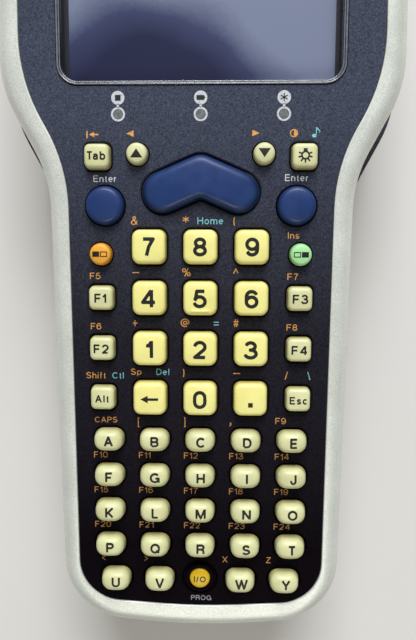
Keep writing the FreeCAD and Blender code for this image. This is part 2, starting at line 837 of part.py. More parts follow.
def keypad_mat():
    """Silicone sheet with a dome under every key and three under the scan key."""
    spots = [(x, y) for form, x, y in key_points if form != "scan"]
    scan_x, scan_y = places["key_scan"][1][0]
    spots += [(scan_x + i * scan_lobe_x, scan_y + (scan_rise if i == 0 else 0)) for i in (-1, 0, 1)]
    top = mat_z + mat_thickness
    domes = [Part.makeCone(dome_radius, dome_tip_radius, dome_height + 0.2, V(x, y, top - 0.2))
             for x, y in spots]
    return fused([keypad_sheet(0, mat_z, top)] + domes)


def keypad_board():
    return keypad_sheet(0.2, keypad_board_z, mat_z)


# ---- electronics -------------------------------------------------------------------------------
def main_board():
    """Processor board: a narrow tongue under the keypad and a wide part in the head."""
    z = main_board_z
    grip_half = base_width / 2 - rim_wall - slip - shelf_width - 1.5
    head_half = head_width / 2 - rim_wall - slip - shelf_width - 1.5
    low = row(bay_start - 3)
    neck = row(opening_bottom + 2)
    high = row(rim_inner_top - 4)
    tongue = slab(rectangle(2 * grip_half, neck + 4 - low, 2.0, 0, (low + neck + 4) / 2),
                  z, z + board_thickness)
    head = slab(rectangle(2 * head_half, high - neck, 3.0, 0, (high + neck) / 2), z, z + board_thickness)
    parts = [tongue, head]
    chip_z = z + board_thickness
    for i in range(chip_rows):
        y = low + 24 + i * chip_pitch
        parts.append(block(-18, -6, y, y + 12, chip_z - 0.2, chip_z + 1.4))
        parts.append(block(4, 22, y + 1, y + 9, chip_z - 0.2, chip_z + 1.1))
    header = block(-14, 14, neck - 34, neck - 29, chip_z - 0.2, keypad_board_z)
    board = fused(parts + [header])
    for x, y in screw_points:
        board = board.cut(post(boss_radius + 0.6, x, y, z - 1, keypad_board_z))
    return board


def board_shields():
    """Two pressed cans over the radio and processor in the head."""
    z = main_board_z + board_thickness
    cans = []
    half = shield_width / 2
    low = screen_y + 1 - shield_length / 2
    high = screen_y + 1 + shield_length / 2
    for x in (-shield_x, shield_x):
        outer = block(x - half, x + half, low, high, z, z + shield_height)
        outer = outer.makeFillet(0.6, level_edges(outer, z + shield_height))
        inner = block(x - half + shield_wall, x + half - shield_wall, low + shield_wall, high - shield_wall,
                      z - 1, z + shield_height - shield_wall)
        cans.append(outer.cut(inner))
    return Part.makeCompound(cans)


def radio_card():
    """Plug-in radio card under the main board, clear of the insert bosses."""
    half = insert_spacing_x / 2 - insert_radius - insert_wall - 1.5
    z = main_board_z - 4.4
    low = insert_y - 22
    card = slab(rectangle(2 * half, radio_length, 1.5, 0, low + radio_length / 2), z, z + radio_height)
    socket = block(-half, half, low + radio_length - 2, low + radio_length + 4, z + 0.6, main_board_z)
    return fused([card, socket])


def scan_engine():
    """Bar-code scan module: a housing with a sloped mirror bay that looks out of the window."""
    high = engine_high_y
    body = block(-engine_width / 2, engine_width / 2, high - engine_length, high, scan_z - 6.5, scan_z + 5.0)
    body = body.makeFillet(1.0, [e for e in body.Edges if abs(e.BoundBox.ZLength - 11.5) < 0.01])
    mouth = block(-11, 11, high - 9, high + 1, scan_z - 3.5, scan_z + 3.5)
    mirror = Part.makeCylinder(2.4, 22.4, V(-11.2, high - 6.5, scan_z), V(1, 0, 0))
    return fused([body.cut(mouth), mirror])


def scan_window():
    end = row(body_length)
    return block(-scan_window_width / 2, scan_window_width / 2,
                 end - scan_window_inset - scan_window_depth, end - scan_window_inset,
                 scan_z - scan_window_height / 2, scan_z + scan_window_height / 2)


# ---- battery and latch -------------------------------------------------------------------------
def battery_case():
    """Removable pack's case: its outer skin is part of the back, with a notch for the latch hook."""
    w = battery_width / 2
    top = rear_z + battery_depth
    body = block(-w, w, battery_low_y, battery_high_y, rear_z, top)
    body = body.makeFillet(battery_edge, level_edges(body, rear_z))
    pocket = block(-w + battery_wall, w - battery_wall, battery_low_y + battery_wall,
                   battery_high_y - battery_wall, rear_z + battery_wall, top + 1)
    notch = block(-stem_width / 2 - 0.6, stem_width / 2 + 0.6, battery_high_y - 1.0, battery_high_y + 1,
                  rear_z - 1, hook_z + 3.0)
    grooves = [
        Part.makeCylinder(groove_radius, battery_width - 16,
                          V(-w + 8, battery_high_y - 10 - i * groove_pitch, rear_z - 0.35), V(1, 0, 0))
        for i in range(groove_count)
    ]
    return body.cut(Part.makeCompound([pocket, notch] + grooves))


def battery_cells():
    """Two flat cells side by side, which fill the case up to its open inner side."""
    room = battery_width - 2 * battery_wall
    cell_width = (room - 3 * battery_gap) / 2
    low = battery_low_y + battery_wall + battery_gap
    high = battery_high_y - battery_wall - battery_gap
    z_low = rear_z + battery_wall
    cells = []
    for side in (-1, 1):
        x = side * (cell_width + battery_gap) / 2
        cell = block(x - cell_width / 2, x + cell_width / 2, low, high, z_low, cell_top_z)
        cells.append(cell.makeFillet(cell_edge, [e for e in cell.Edges if e.BoundBox.YLength > 10]))
    return Part.makeCompound(cells)


def battery_contacts():
    """Four spring pins from the main board through the bay roof to the cells' end plates."""
    tips = [post(contact_radius, x, y, cell_top_z, main_board_z) for x, y in contact_points]
    return Part.makeCompound(tips)


def battery_latch():
    """Ribbed thumb slide with a stem through the housing and a hook towards the pack."""
    w = latch_width / 2
    z = rear_z + 0.2
    button = block(-w, w, latch_y, latch_y + latch_length, z, rear_z + latch_recess - 0.1)
    button = button.makeFillet(latch_edge, [e for e in button.Edges if e.BoundBox.ZLength > 0.5])
    starts = [latch_y + 1.1 + i * latch_rib_pitch for i in range(latch_ribs)]
    ribs = [block(-w + 2, w - 2, y, y + 0.7, z - 1, z + 0.45) for y in starts]
    button = button.cut(Part.makeCompound(ribs))
    stem = block(-stem_width / 2, stem_width / 2, latch_y + 0.3, latch_y + stem_length,
                 rear_z + latch_recess - 0.5, hook_z + hook_thickness)
    hook = block(-stem_width / 2, stem_width / 2, battery_high_y + 0.15, latch_y + 1.0,
                 hook_z, hook_z + hook_thickness)
    return fused([button, stem, hook])


def latch_spring():
    """Coil that pushes the latch back towards the battery."""
    start = latch_y + stem_length + 0.05 + spring_wire
    length = latch_travel + 0.6 - 2 * spring_wire - 0.1
    helix = Part.makeHelix(length / spring_turns, length, spring_radius)
    ring = Part.Wire([Part.Circle(V(spring_radius, 0, 0), V(0, 1, 0), spring_wire).toShape()])
    coil = Part.Wire(helix.Edges).makePipeShell([ring], True, True)
    coil.rotate(V(0, 0, 0), V(1, 0, 0), -90)
    coil.translate(V(0, start, rear_z + 4.4))
    return coil


# ---- dock, fasteners, feet ---------------------------------------------------------------------
def dock_connector():
    """Contact block in the base end: a dark insert with a row of gold pads."""
    body = block(-dock_width / 2 + slip, dock_width / 2 - slip, row(dock_inset), row(dock_depth),
                 dock_z - dock_height / 2 + slip, dock_z + dock_height / 2 - slip)
    return body.cut(Part.makeCompound(dock_pad_solids(slip / 3)))


def dock_pad_solids(gap=0.0):
    face = row(dock_inset)
    pitch = (dock_width - 2 * dock_end_margin) / (dock_pins - 1)
    half = dock_pad_width / 2 + gap
    high = dock_pad_height / 2 + gap
    middles = [(i - (dock_pins - 1) / 2) * pitch for i in range(dock_pins)]
    return [block(x - half, x + half, face - 0.1 - gap, face + dock_pad_depth + gap,
                  dock_z - high, dock_z + high)
            for x in middles]


def dock_contacts():
    return Part.makeCompound(dock_pad_solids())


def housing_screws():
    """Six self-tapping screws from the back, with cross recesses."""
    screws = []
    seat = rear_z + screw_seat
    for x, y in screw_points:
        head = post(screw_head_radius, x, y, seat - screw_head_height, seat)
        head = head.makeFillet(0.6, level_edges(head, seat - screw_head_height))
        shank = post(screw_radius, x, y, seat - 0.5, plate_z - 1.5)
        low = seat - screw_head_height - 1
        long = cross_length / 2
        thin = cross_width / 2
        cross = [block(x - long, x + long, y - thin, y + thin, low, low + 1 + cross_depth),
                 block(x - thin, x + thin, y - long, y + long, low, low + 1 + cross_depth)]
        screws.append(fused([head, shank]).cut(Part.makeCompound(cross)))
    return Part.makeCompound(screws)


def grip_inserts():
    """Four threaded brass inserts in the back of the head, for a pistol grip or a cradle."""
    made = []
    for x, y in insert_points:
        body = post(insert_radius, x, y, rear_z, rear_z + insert_length)
        made.append(body.cut(post(insert_bore, x, y, rear_z - 1, rear_z + insert_length + 1)))
    return Part.makeCompound(made)


def rear_feet():
    pads = []
    for x, y in foot_points:
        pad = post(foot_radius, x, y, 0, rear_z + foot_recess)
        pads.append(pad.makeFillet(foot_edge, level_edges(pad, 0)))
    return Part.makeCompound(pads)


# ---- build -------------------------------------------------------------------------------------
def build():
    nodes = {
        "rim_bumper": rim_bumper(),
        "front_housing": front_housing(),
        "rear_housing": rear_housing(),
        "housing_gasket": housing_gasket(),
        "display_bezel": display_bezel(),
        "display_window": display_window(),
        "lcd_panel": lcd_panel(),
        "display_frame": display_frame(),
        "indicator_lenses": indicator_lenses(),
        "speaker": speaker(),
        "keypad_mat": keypad_mat(),
        "keypad_board": keypad_board(),
        "main_board": main_board(),
        "board_shields": board_shields(),
        "radio_card": radio_card(),
        "scan_engine": scan_engine(),
        "scan_window": scan_window(),
        "battery_case": battery_case(),
        "battery_cells": battery_cells(),
        "battery_contacts": battery_contacts(),
        "battery_latch": battery_latch(),
        "latch_spring": latch_spring(),
        "dock_connector": dock_connector(),
        "dock_contacts": dock_contacts(),
        "housing_screws": housing_screws(),
        "grip_inserts": grip_inserts(),
        "rear_feet": rear_feet(),
    }
    nodes.update(key_nodes())
    for name, shape in nodes.items():
        solids = shape.Solids
        whole = solids[0] if len(solids) == 1 else Part.makeCompound(solids)
        whole.exportStep("parts/" + name + ".step")
        box = whole.BoundBox
        print(f"{name:18s} solids {len(solids):2d} valid {whole.isValid()} volume {whole.Volume:10.1f}"
              f"  x {box.XMin:7.2f} {box.XMax:7.2f}  y {box.YMin:8.2f} {box.YMax:8.2f}"
              f"  z {box.ZMin:6.2f} {box.ZMax:6.2f}")
    print("body length", round(body_length, 2), "nodes", len(nodes))


build()
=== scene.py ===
import json
import math

import bmesh
import bpy
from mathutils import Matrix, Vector
from mathutils.bvhtree import BVHTree

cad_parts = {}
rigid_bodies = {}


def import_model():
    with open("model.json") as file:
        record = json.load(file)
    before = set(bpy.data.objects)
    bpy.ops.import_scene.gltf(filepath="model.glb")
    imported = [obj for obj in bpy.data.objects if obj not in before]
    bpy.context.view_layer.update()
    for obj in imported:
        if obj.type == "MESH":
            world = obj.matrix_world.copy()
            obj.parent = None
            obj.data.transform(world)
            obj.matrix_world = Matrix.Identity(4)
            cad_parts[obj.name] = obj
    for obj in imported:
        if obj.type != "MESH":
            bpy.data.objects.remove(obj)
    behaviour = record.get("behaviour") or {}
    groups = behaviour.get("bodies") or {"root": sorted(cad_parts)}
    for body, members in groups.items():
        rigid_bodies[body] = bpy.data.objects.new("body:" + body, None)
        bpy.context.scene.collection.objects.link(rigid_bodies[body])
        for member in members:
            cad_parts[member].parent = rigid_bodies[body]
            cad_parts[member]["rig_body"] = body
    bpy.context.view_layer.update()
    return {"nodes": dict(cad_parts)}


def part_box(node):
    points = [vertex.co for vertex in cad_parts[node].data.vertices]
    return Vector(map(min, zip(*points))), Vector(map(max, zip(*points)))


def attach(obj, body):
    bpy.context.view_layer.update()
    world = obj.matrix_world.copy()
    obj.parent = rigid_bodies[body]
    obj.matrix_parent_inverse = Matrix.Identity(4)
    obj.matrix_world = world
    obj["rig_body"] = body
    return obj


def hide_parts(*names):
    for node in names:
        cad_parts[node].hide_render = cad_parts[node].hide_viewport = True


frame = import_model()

mm = 0.001
plainWhite = (1, 1, 1, 1)
coatRough = 0.15
scene = bpy.context.scene
nodes = frame["nodes"]
rimProud = 0.4 * mm  # the rim stands this much above the face


def centreOf(node):
    low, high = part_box(node)
    return (low + high) / 2


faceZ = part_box("rim_bumper")[1].z - rimProud
print("frame loaded,", len(nodes), "nodes")


# materials

def colour(red, green, blue):  # 0 to 255 as seen, to the shader's linear value
    def linear(v):
        v = v / 255
        return v / 12.92 if v <= 0.04045 else ((v + 0.055) / 1.055) ** 2.4
    return (linear(red), linear(green), linear(blue), 1.0)


def newMaterial(name, rough, metal=0.0, coat=0.0, specular=0.5):
    material = bpy.data.materials.new(name)
    material.use_nodes = True
    shader = material.node_tree.nodes["Principled BSDF"]
    shader.inputs["Roughness"].default_value = rough
    shader.inputs["Metallic"].default_value = metal
    shader.inputs["Coat Weight"].default_value = coat
    shader.inputs["Coat Roughness"].default_value = coatRough
    shader.inputs["Specular IOR Level"].default_value = specular
    return material, shader


def addNode(material, kind, **inputs):
    node = material.node_tree.nodes.new(kind)
    for name, value in inputs.items():
        node.inputs[name].default_value = value
    return node


def link(material, source, target):
    material.node_tree.links.new(source, target)


def places(material):
    return addNode(material, "ShaderNodeTexCoord").outputs["Object"]


def noise(material, scale, detail=3.0, roughness=0.5, stretch=None):
    spot = places(material)
    if stretch:
        mapping = addNode(material, "ShaderNodeMapping")
        mapping.inputs["Scale"].default_value = stretch
        link(material, spot, mapping.inputs["Vector"])
        spot = mapping.outputs["Vector"]
    node = addNode(material, "ShaderNodeTexNoise", Scale=scale, Detail=detail, Roughness=roughness)
    link(material, spot, node.inputs["Vector"])
    return node.outputs["Fac"]


def ramp(material, source, stops):
    node = addNode(material, "ShaderNodeValToRGB")
    link(material, source, node.inputs["Fac"])
    while len(node.color_ramp.elements) < len(stops):
        node.color_ramp.elements.new(0.5)
    for element, (position, shade) in zip(node.color_ramp.elements, stops):
        element.position = position
        element.color = shade
    return node.outputs["Color"]


def mapRange(material, source, inside, outside=(0.0, 1.0), clamp=True):
    node = addNode(material, "ShaderNodeMapRange")
    node.clamp = clamp
    for name, value in zip(("From Min", "From Max", "To Min", "To Max"), (*inside, *outside)):
        node.inputs[name].default_value = value
    link(material, source, node.inputs["Value"])
    return node.outputs["Result"]


def spread(material, source, low, high):  # a noise value brought into a chosen range
    return mapRange(material, source, (0.3, 0.7), (low, high))


def bump(material, shader, source, depth):
    node = addNode(material, "ShaderNodeBump", Strength=1.0, Distance=depth)
    link(material, source, node.inputs["Height"])
    link(material, node.outputs["Normal"], shader.inputs["Normal"])


def multiply(material, a, b):
    node = material.node_tree.nodes.new("ShaderNodeMix")
    node.data_type = "RGBA"
    node.blend_type = "MULTIPLY"
    factor, first, second = node.inputs[0], node.inputs[6], node.inputs[7]  # the sockets for colours
    factor.default_value = 1.0
    link(material, a, first)
    link(material, b, second)
    return node.outputs[2]


def mouldedFinish(name, light, dark, rough, grain, depth, speckle=0.5, coat=0.0):
    # moulded plastic: fine erosion texture, a little cloudiness and uneven gloss
    material, shader = newMaterial(name, rough, coat=coat)
    fine = noise(material, grain, 2.0, 0.6)
    cloud = noise(material, 60.0, 3.0, 0.5)
    base = ramp(material, fine, [(0.5 - 0.25 * speckle, dark), (0.5 + 0.25 * speckle, light)])
    shade = ramp(material, cloud, [(0.3, (0.9, 0.9, 0.9, 1)), (0.7, plainWhite)])
    link(material, multiply(material, base, shade), shader.inputs["Base Color"])
    link(material, spread(material, cloud, rough - 0.05, rough + 0.07), shader.inputs["Roughness"])
    bump(material, shader, fine, depth)
    return material


def along(material, axis, start, end, clamp=True):
    # 0 at the start of a stretch of the X, Y or Z axis and 1 at its end
    split = addNode(material, "ShaderNodeSeparateXYZ")
    link(material, places(material), split.inputs["Vector"])
    return mapRange(material, split.outputs[axis], (start, end), clamp=clamp)


def alongBody(material):  # from the base end of the keypad to the indicators
    return along(material, "Y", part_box("keys_u_to_y")[0].y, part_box("indicator_lenses")[1].y)


keyFinish = {
    "grain": 2600.0, "depth": 0.006 * mm, "cloud": 180.0,
    "flankPaintedShade": (0.62, 0.54, 0.4, 1), "shoulder": (0.93, 0.91, 0.86, 1),  # painted shade with a warm painted reflection: darker and warmer down the sides
    "low": 0.2 * mm, "high": 2.9 * mm,
}


def keyMaterial(name, light, dark, rough=0.42, specular=0.5):
    # silky key plastic with faint mould flow and uneven gloss; its lower sides get painted shade with a
    # warm painted reflection
    material, shader = newMaterial(name, rough, specular=specular)
    shader.inputs["Subsurface Weight"].default_value = 0.06
    shader.inputs["Subsurface Radius"].default_value = (0.001, 0.0008, 0.0005)
    cloud = noise(material, keyFinish["cloud"], 3.0, 0.5)
    fine = noise(material, keyFinish["grain"], 2.0, 0.6)
    flow = ramp(material, cloud, [(0.3, dark), (0.7, light)])
    # painted shade: darker and warmer from the shoulder down to the face
    height = along(material, "Z", faceZ + keyFinish["low"], faceZ + keyFinish["high"])
    shades = [(0.0, keyFinish["flankPaintedShade"]), (0.5, keyFinish["shoulder"]), (0.75, plainWhite)]
    link(material, multiply(material, flow, ramp(material, height, shades)), shader.inputs["Base Color"])
    link(material, spread(material, cloud, rough - 0.06, rough + 0.08), shader.inputs["Roughness"])
    bump(material, shader, fine, keyFinish["depth"])
    return material


faceFinish = {
    # painted light and shade along the body: lit bluish at the head end, painted shade to nearly black at
    # the base
    "head": colour(79, 84, 101), "middle": colour(42, 40, 48), "base": colour(11, 4, 11),
    "grain": 3400.0, "depth": 0.03 * mm, "rough": 0.6, "specular": 0.04,
}


def faceMaterial():
    # spark-eroded dark plastic with painted light and shade: lit bluish at the head, painted shade to
    # nearly black towards the base
    material, shader = newMaterial("darkFacePlastic", faceFinish["rough"], specular=faceFinish["specular"])
    fine = noise(material, faceFinish["grain"], 2.0, 0.65)
    coarse = noise(material, faceFinish["grain"] / 3, 2.0, 0.5)
    # painted light at the head end and painted shade towards the base
    tone = ramp(material, alongBody(material), [(0.1, faceFinish["base"]), (0.55, faceFinish["middle"]),
                                                (1.0, faceFinish["head"])])
    speckle = ramp(material, fine, [(0.34, (0.38, 0.38, 0.39, 1)), (0.5, (0.76, 0.76, 0.76, 1)),
                                    (0.68, (1.2, 1.2, 1.24, 1))])
    mottle = ramp(material, coarse, [(0.3, (0.86, 0.86, 0.86, 1)), (0.7, plainWhite)])
    tone = multiply(material, tone, speckle)
    link(material, multiply(material, tone, mottle), shader.inputs["Base Color"])
    link(material, spread(material, coarse, 0.54, 0.68), shader.inputs["Roughness"])
    bump(material, shader, fine, faceFinish["depth"])
    return material


rimFinish = {"light": colour(239, 241, 230), "dark": colour(208, 210, 200), "flake": 5400.0, "rough": 0.4}


def rimMaterial():
    # silver paint: metal flakes under a satin lacquer, slightly rubbed
    material, shader = newMaterial("silverPaint", rimFinish["rough"], metal=0.25, coat=0.12)
    flake = noise(material, rimFinish["flake"], 1.0, 0.5)
    cloud = noise(material, 90.0, 4.0, 0.55)
    base = ramp(material, flake, [(0.35, rimFinish["dark"]), (0.65, rimFinish["light"])])
    rubbed = ramp(material, cloud, [(0.35, (0.93, 0.93, 0.92, 1)), (0.65, plainWhite)])
    link(material, multiply(material, base, rubbed), shader.inputs["Base Color"])
    link(material, spread(material, cloud, 0.36, 0.48), shader.inputs["Roughness"])
    bump(material, shader, flake, 0.012 * mm)
    return material


displayFinish = {
    "deep": colour(4, 7, 54), "middle": colour(50, 56, 94), "pale": colour(128, 136, 160), "rough": 0.3,
    "darkX": (0.34, 0.5), "darkY": (0.0, 0.58),  # the painted reflection's dark patch: its middle and reach, in shares of the panel
}


def displayMaterial():
    # switched-off panel: its own indigo under a painted reflection, a deep indigo patch low on the left in
    # a paler lavender surround
    material, shader = newMaterial("displayOffPaintedReflection", displayFinish["rough"])
    low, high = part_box("lcd_panel")
    offset = addNode(material, "ShaderNodeCombineXYZ")
    for i, axis in enumerate("XY"):
        start, reach = displayFinish["dark" + axis]
        size = high[i] - low[i]
        middle = low[i] + start * size
        share = along(material, axis, middle, middle + reach * size, clamp=False)
        link(material, share, offset.inputs[axis])
    away = material.node_tree.nodes.new("ShaderNodeVectorMath")
    away.operation = "LENGTH"
    link(material, offset.outputs["Vector"], away.inputs[0])
    total = away.outputs["Value"]
    cloud = spread(material, noise(material, 30.0, 1.5, 0.4), -0.22, 0.22)
    for part in (cloud, spread(material, noise(material, 900.0, 2.0, 0.6), -0.012, 0.012)):
        adder = material.node_tree.nodes.new("ShaderNodeMath")
        link(material, total, adder.inputs[0])
        link(material, part, adder.inputs[1])
        total = adder.outputs["Value"]
    # painted reflection: dark low on the left, paler lavender further out
    shades = [(0.42, displayFinish["deep"]), (0.7, displayFinish["middle"]), (0.98, displayFinish["pale"])]
    link(material, ramp(material, total, shades), shader.inputs["Base Color"])
    return material


def windowMaterial():
    material, shader = newMaterial("clearCover", 0.06, specular=0.45)
    shader.inputs["Base Color"].default_value = colour(120, 126, 150)
    shader.inputs["Alpha"].default_value = 0.04
    haze = noise(material, 500.0, 2.0, 0.5)
    link(material, spread(material, haze, 0.04, 0.1), shader.inputs["Roughness"])
    return material


def inkMaterial(name, shade, worn):
    # screen-printed ink with small uneven patches, darkened towards the base end by painted shade
    material, shader = newMaterial(name, 0.55)
    patch = noise(material, 1500.0, 3.0, 0.6)
    ink = ramp(material, patch, [(0.3, worn), (0.55, shade)])
    # painted shade: the ink darkens towards the base end
    inkPaintedShade = ramp(material, alongBody(material), [(0.1, (0.5, 0.47, 0.45, 1)), (0.8, plainWhite)])
    link(material, multiply(material, ink, inkPaintedShade), shader.inputs["Base Color"])
    bump(material, shader, patch, 0.004 * mm)
    return material


def metalMaterial(name, light, dark, rough, stretch=(1, 1, 1)):
    material, shader = newMaterial(name, rough, metal=1.0)
    line = noise(material, 900.0, 3.0, 0.6, stretch)
    link(material, ramp(material, line, [(0.3, dark), (0.7, light)]), shader.inputs["Base Color"])
    link(material, spread(material, line, rough - 0.06, rough + 0.08), shader.inputs["Roughness"])
    bump(material, shader, line, 0.004 * mm)
    return material


finishes = {
    "rim": rimMaterial(),
    "face": faceMaterial(),
    "shell": mouldedFinish("darkShellPlastic", colour(62, 64, 74), colour(36, 38, 46), 0.58, 1900.0,
                           0.04 * mm),
    # the bezel's light grey ridges are a painted highlight and its near-black bands painted shade
    "bezel": mouldedFinish("bezelPaintedHighlight", colour(126, 130, 136), colour(108, 112, 118), 0.16, 900.0,
                           0.001 * mm, coat=0.9),
    "bezelPaintedShade": mouldedFinish("bezelPaintedShade", colour(16, 17, 21), colour(10, 11, 14), 0.25, 900.0,
                               0.001 * mm, coat=0.5),
    "tray": mouldedFinish("blackTray", colour(18, 18, 21), colour(9, 9, 11), 0.5, 1500.0, 0.01 * mm),
    "rubber": mouldedFinish("blackRubber", colour(44, 44, 46), colour(26, 26, 28), 0.75, 1300.0, 0.03 * mm),
    "silicone": mouldedFinish("greySilicone", colour(110, 110, 112), colour(92, 92, 95), 0.6, 800.0,
                              0.01 * mm),
    "board": mouldedFinish("circuitBoard", colour(34, 104, 62), colour(18, 74, 42), 0.35, 700.0, 0.01 * mm),
    "lens": mouldedFinish("indicatorLens", colour(128, 133, 130), colour(104, 109, 108), 0.22, 1200.0,
                          0.004 * mm, coat=0.4),
    "scanGlass": mouldedFinish("scanWindowRed", colour(92, 14, 20), colour(58, 8, 14), 0.08, 700.0,
                               0.0005 * mm, coat=0.9),
    "latch": mouldedFinish("latchGrey", colour(104, 108, 114), colour(82, 86, 92), 0.45, 1800.0, 0.02 * mm),
    "steel": metalMaterial("springSteel", colour(206, 208, 210), colour(168, 170, 174), 0.3),
    "screw": metalMaterial("blackenedSteel", colour(74, 74, 78), colour(46, 46, 50), 0.38),
    "brass": metalMaterial("insertBrass", colour(214, 178, 104), colour(176, 138, 70), 0.28),
    "gold": metalMaterial("contactGold", colour(238, 200, 112), colour(214, 170, 84), 0.22),
    "foil": metalMaterial("cellFoil", colour(200, 204, 208), colour(164, 168, 174), 0.35, (1, 12, 1)),
    "window": windowMaterial(),
    "display": displayMaterial(),
    "cream": keyMaterial("creamKey", colour(250, 241, 151), colour(242, 231, 140)),
    "tan": keyMaterial("tanKey", colour(226, 225, 172), colour(211, 209, 155)),
    "blue": keyMaterial("blueKey", colour(30, 58, 112), colour(24, 48, 98), 0.42, 0.4),
    "orange": keyMaterial("orangeKey", colour(245, 178, 58), colour(234, 160, 46)),
    "green": keyMaterial("greenKey", colour(183, 240, 172), colour(168, 225, 156)),
    "yellow": keyMaterial("yellowKey", colour(252, 218, 24), colour(242, 202, 14)),
    # near-black painted shade for the key sides below the face
    "skirt": mouldedFinish("keySkirt", colour(12, 12, 13), colour(6, 6, 7), 0.8, 1500.0, 0.01 * mm),
    "blackInk": inkMaterial("blackInk", colour(12, 12, 10), colour(26, 26, 20)),
    "orangeInk": inkMaterial("orangeInk", colour(232, 166, 84), colour(196, 132, 62)),
    "blueInk": inkMaterial("paleBlueInk", colour(132, 204, 210), colour(104, 168, 178)),
    "whiteInk": inkMaterial("whiteInk", colour(208, 210, 212), colour(170, 172, 176)),
}
cadFinishes = {
    "rim_bumper": "rim", "front_housing": "face", "rear_housing": "shell", "housing_gasket": "rubber",
    "display_bezel": "bezel", "display_window": "window", "lcd_panel": "tray", "display_frame": "tray",
    "indicator_lenses": "lens", "speaker": "tray", "keypad_mat": "silicone", "keypad_board": "board",
    "main_board": "board", "board_shields": "steel", "radio_card": "board", "scan_engine": "tray",
    "scan_window": "scanGlass", "battery_case": "shell", "battery_cells": "foil",
    "battery_contacts": "gold", "battery_latch": "latch", "latch_spring": "steel",
    "dock_connector": "tray", "dock_contacts": "gold", "housing_screws": "screw",
    "grip_inserts": "brass", "rear_feet": "rubber",
}
for node, finish in cadFinishes.items():
    nodes[node].data.materials.clear()
    nodes[node].data.materials.append(finishes[finish])
print("materials made")


# mesh helpers

def bodyOf(node):
    return nodes[node]["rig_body"]


def meshObject(name, bm, material, smooth=True):
    bmesh.ops.recalc_face_normals(bm, faces=bm.faces)
    mesh = bpy.data.meshes.new(name)
    bm.to_mesh(mesh)
    bm.free()
    for polygon in mesh.polygons:
        polygon.use_smooth = smooth
    mesh.materials.append(material)
    piece = bpy.data.objects.new(name, mesh)
    scene.collection.objects.link(piece)
    return piece


def wallBetween(bm, low, high, finish=0):  # a band of faces from one closed ring to the next
    for i in range(len(low)):
        j = (i + 1) % len(low)
        bm.faces.new((low[i], low[j], high[j], high[i])).material_index = finish


def circleRing(radius, count=64):
    turns = [2 * math.pi * i / count for i in range(count)]
    return [(radius * math.cos(a), radius * math.sin(a)) for a in turns]


def cornerRing(width, depth, corner, arcSteps=8, sideSteps=5):
    # rounded rectangle, anticlockwise from the right side's foot
    points = []
    middles = [(sx * (width / 2 - corner), sy * (depth / 2 - corner))
               for sx, sy in ((1, -1), (1, 1), (-1, 1), (-1, -1))]
    for k, (cx, cy) in enumerate(middles):
        start = math.radians(-90 + 90 * k)
        arc = [start + math.radians(90) * i / arcSteps for i in range(arcSteps + 1)]
        points += [(cx + corner * math.cos(a), cy + corner * math.sin(a)) for a in arc]
        nextX, nextY = middles[(k + 1) % 4]
        end = math.radians(90 * k)
        ax = nextX + corner * math.cos(end)
        ay = nextY + corner * math.sin(end)
        x, y = points[-1]
        shares = [i / sideSteps for i in range(1, sideSteps)]
        points += [(x + (ax - x) * t, y + (ay - y) * t) for t in shares]
    return points


chevronSteps = 14  # divisions of each arc and each straight side
ridgeHalf = 0.25  # half the width of the strip that closes the chevron's top, in millimetres


def chevronRing(lobe, reach, rise, notch):
    # two lobes joined at a raised middle, anticlockwise from the peak's right shoulder
    slope = math.atan2(rise, reach)
    notchY = rise - (lobe + notch) / math.cos(slope)

    def arc(cx, cy, radius, start, end):
        turns = [start + (end - start) * i / chevronSteps for i in range(chevronSteps + 1)]
        return [(cx + radius * math.cos(a), cy + radius * math.sin(a)) for a in turns]

    def run(a, b):
        shares = [i / chevronSteps for i in range(1, chevronSteps)]
        return [(a[0] + (b[0] - a[0]) * t, a[1] + (b[1] - a[1]) * t) for t in shares]

    up = math.pi / 2
    peak = arc(0, rise, lobe, up - slope, up + slope)
    left = arc(-reach, 0, lobe, up + slope, 3 * up + slope)
    inner = arc(0, notchY, notch, up + slope, up - slope)
    right = arc(reach, 0, lobe, -up - slope, up - slope)
    arcs = [peak, left, inner, right]
    points = []
    for i, piece in enumerate(arcs):
        points += piece + run(piece[-1], arcs[(i + 1) % 4][0])
    return points


# keys

# millimetres; the flange's top and the skirt's are measured down from the face
keyBody = {"flange": 0.8, "flangeDepth": 1.0, "flangeTop": 2.55, "skirt": 0.25, "rings": 7}


def capSize(node, corner):
    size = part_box(node)[1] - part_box(node)[0]
    return (size.x / mm - 2 * keyBody["flange"], size.y / mm - 2 * keyBody["flange"], corner)


def capRadius(node):
    return capSize(node, 0)[0] / 2


# millimetres: outline, height over the face, crown radius, rounded shoulder, lean of the sides
keyForms = {
    "number": {"size": capSize("key_8", 2.0), "height": 2.7, "crown": 30.0, "shoulder": 0.95, "lean": 0.18},
    "side": {"size": capSize("key_f1", 1.4), "height": 2.5, "crown": 18.0, "shoulder": 0.85, "lean": 0.18},
    "top": {"size": capSize("key_tab", 1.5), "height": 2.5, "crown": 18.0, "shoulder": 0.85, "lean": 0.18},
    "letter": {"size": (7.6, capSize("keys_u_to_y", 0)[1], 2.4), "height": 3.5, "crown": 7.6,
               "shoulder": 1.3, "lean": 0.2},
    "arrow": {"round": capRadius("key_up"), "height": 2.5, "crown": 8.5, "shoulder": 0.7, "lean": 0.12},
    "shift": {"round": capRadius("key_green_shift"), "height": 2.5, "crown": 8.5, "shoulder": 0.7,
              "lean": 0.12},
    "enter": {"round": capRadius("key_enter_left"), "height": 2.6, "crown": 20.0, "shoulder": 1.1,
              "lean": 0.15},
    "scan": {"chevron": (5.0, 9.25, 3.95, 1.6), "height": 2.9, "crown": 60.0, "shoulder": 1.7, "lean": 0.2},
    "power": {"round": capRadius("key_power"), "height": 0.9, "crown": 9.0, "shoulder": 0.5, "lean": 0.0},
}


def keyRing(form, inset):
    if "size" in form:
        width, depth, corner = form["size"]
        return cornerRing(width - 2 * inset, depth - 2 * inset, max(corner - inset, 0.3))
    if "round" in form:
        return circleRing(form["round"] - inset)
    lobe, reach, rise, notch = form["chevron"]
    return chevronRing(lobe - inset, reach, rise, notch + inset)


